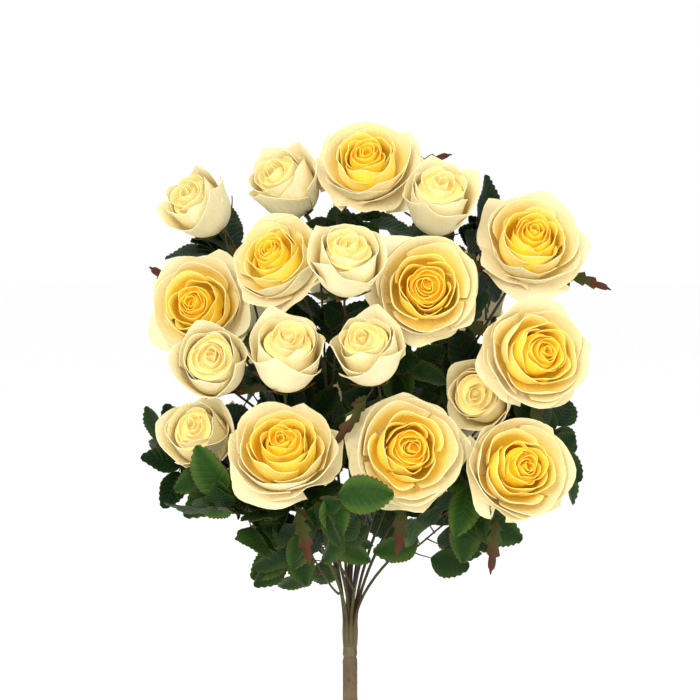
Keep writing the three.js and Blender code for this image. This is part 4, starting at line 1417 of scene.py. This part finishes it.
def leafing_nodes():
    """Geometry nodes that stand a blade on each point, and give each its own square of the map."""
    tree, given = geometry_tree("leafing", Blades="Collection", Cloth="Material")

    def seat(name, kind="FLOAT_VECTOR"):
        read = node(tree, "GeometryNodeInputNamedAttribute", {"Name": name}, data_type=kind)
        return read.outputs["Attribute"]

    loose = {"Collection": given["Blades"], "Separate Children": True, "Reset Children": True}
    stand = {
        "Points": given["Geometry"],
        "Instance": node(tree, "GeometryNodeCollectionInfo", loose).outputs[0],
        "Pick Instance": True,
        "Instance Index": seat("kind", "INT"),
        "Rotation": node(tree, "FunctionNodeEulerToRotation", {0: seat("turn")}).outputs[0],
        "Scale": seat("size", "FLOAT"),
    }
    leaves = node(tree, "GeometryNodeInstanceOnPoints", stand).outputs[0]
    realized = node(tree, "GeometryNodeRealizeInstances", {0: leaves}).outputs[0]
    cell = {0: seat("OFBake"), 1: seat("cell_size"), 2: seat("cell_corner")}
    place = node(tree, "ShaderNodeVectorMath", cell, operation="MULTIPLY_ADD").outputs[0]
    map_place = {"Geometry": realized, "Name": "OFBake", "Value": place}
    way = {"data_type": "FLOAT2", "domain": "CORNER"}
    mapped = node(tree, "GeometryNodeStoreNamedAttribute", map_place, **way).outputs[0]
    end_tree(tree, mapped, given["Cloth"])
    return tree


def seat_mesh(leaves, tints):
    """A mesh of one point for each leaf, with all that the leafing nodes read from it."""
    count = len(leaves)
    per_row = math.ceil(math.sqrt(count))
    turns = []
    for leaf in leaves:
        ways = np.array([-leaf["across"], leaf["along"], leaf["normal"]]).T
        turns.append(Matrix(ways.tolist()).to_euler())
    kinds = [int(np.argmin([abs(leaf["droop"] - bend) for bend in BLADE_BENDS])) for leaf in leaves]
    seats = bpy.data.meshes.new("leaf_seats")
    seats.from_pydata([(leaf["base"] * MM).tolist() for leaf in leaves], [], [])
    seats.attributes.new("kind", "INT", "POINT").data.foreach_set("value", kinds)
    for name, values in (("size", [leaf["size"] for leaf in leaves]), ("tint", tints)):
        seats.attributes.new(name, "FLOAT", "POINT").data.foreach_set("value", values)
    corners = [(i % per_row / per_row, i // per_row / per_row, 0) for i in range(count)]
    sizes = [(1 / per_row, 1 / per_row, 0)] * count
    for name, rows in (("turn", turns), ("cell_corner", corners), ("cell_size", sizes)):
        seats.attributes.new(name, "FLOAT_VECTOR", "POINT").data.foreach_set("vector", np.ravel(rows))
    return seats


def leaf_piece(name, grid, leaves, tints):
    """One piece of all these leaves, from four blades that droop more and more."""
    blades = bpy.data.collections.new(name + "_blades")
    for number, bend in enumerate(BLADE_BENDS):
        blade = leaf_blade("blade_%d" % number, bend, *grid, 40 + number)
        bpy.context.scene.collection.objects.unlink(blade)
        blades.objects.link(blade)
    carrier = add_object("leaf_seats", seat_mesh(leaves, tints))
    piece = run_nodes(name, carrier, leafing, Blades=blades, Cloth=leaf_cloth)
    for blade in list(blades.objects):
        bpy.data.objects.remove(blade)
    bpy.data.collections.remove(blades)
    return piece


leaf_cloth = leaf_finish()
leafing = leafing_nodes()
rng = np.random.default_rng(21)
for name, grid, large, painted_shade_palest_tint in LEAF_KINDS:
    leaves = []
    tints = []
    for index, made in enumerate(shoots):
        kept = [leaf for leaf in made["leaves"] if leaf["large"] == large]
        leaves += kept
        tints += [0.5 + 0.5 * math.sin(12.9 * index)] * len(kept)
    # The small leaves' lower palest tint paints shade on the inside of the bush.
    tints = painted_shade_palest_tint * np.clip(np.array(tints) + rng.uniform(-0.3, 0.3, len(leaves)), 0, 1)
    foliage = leaf_piece(name, grid, leaves, tints)
    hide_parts(*leafy)
    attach(foliage, "root")
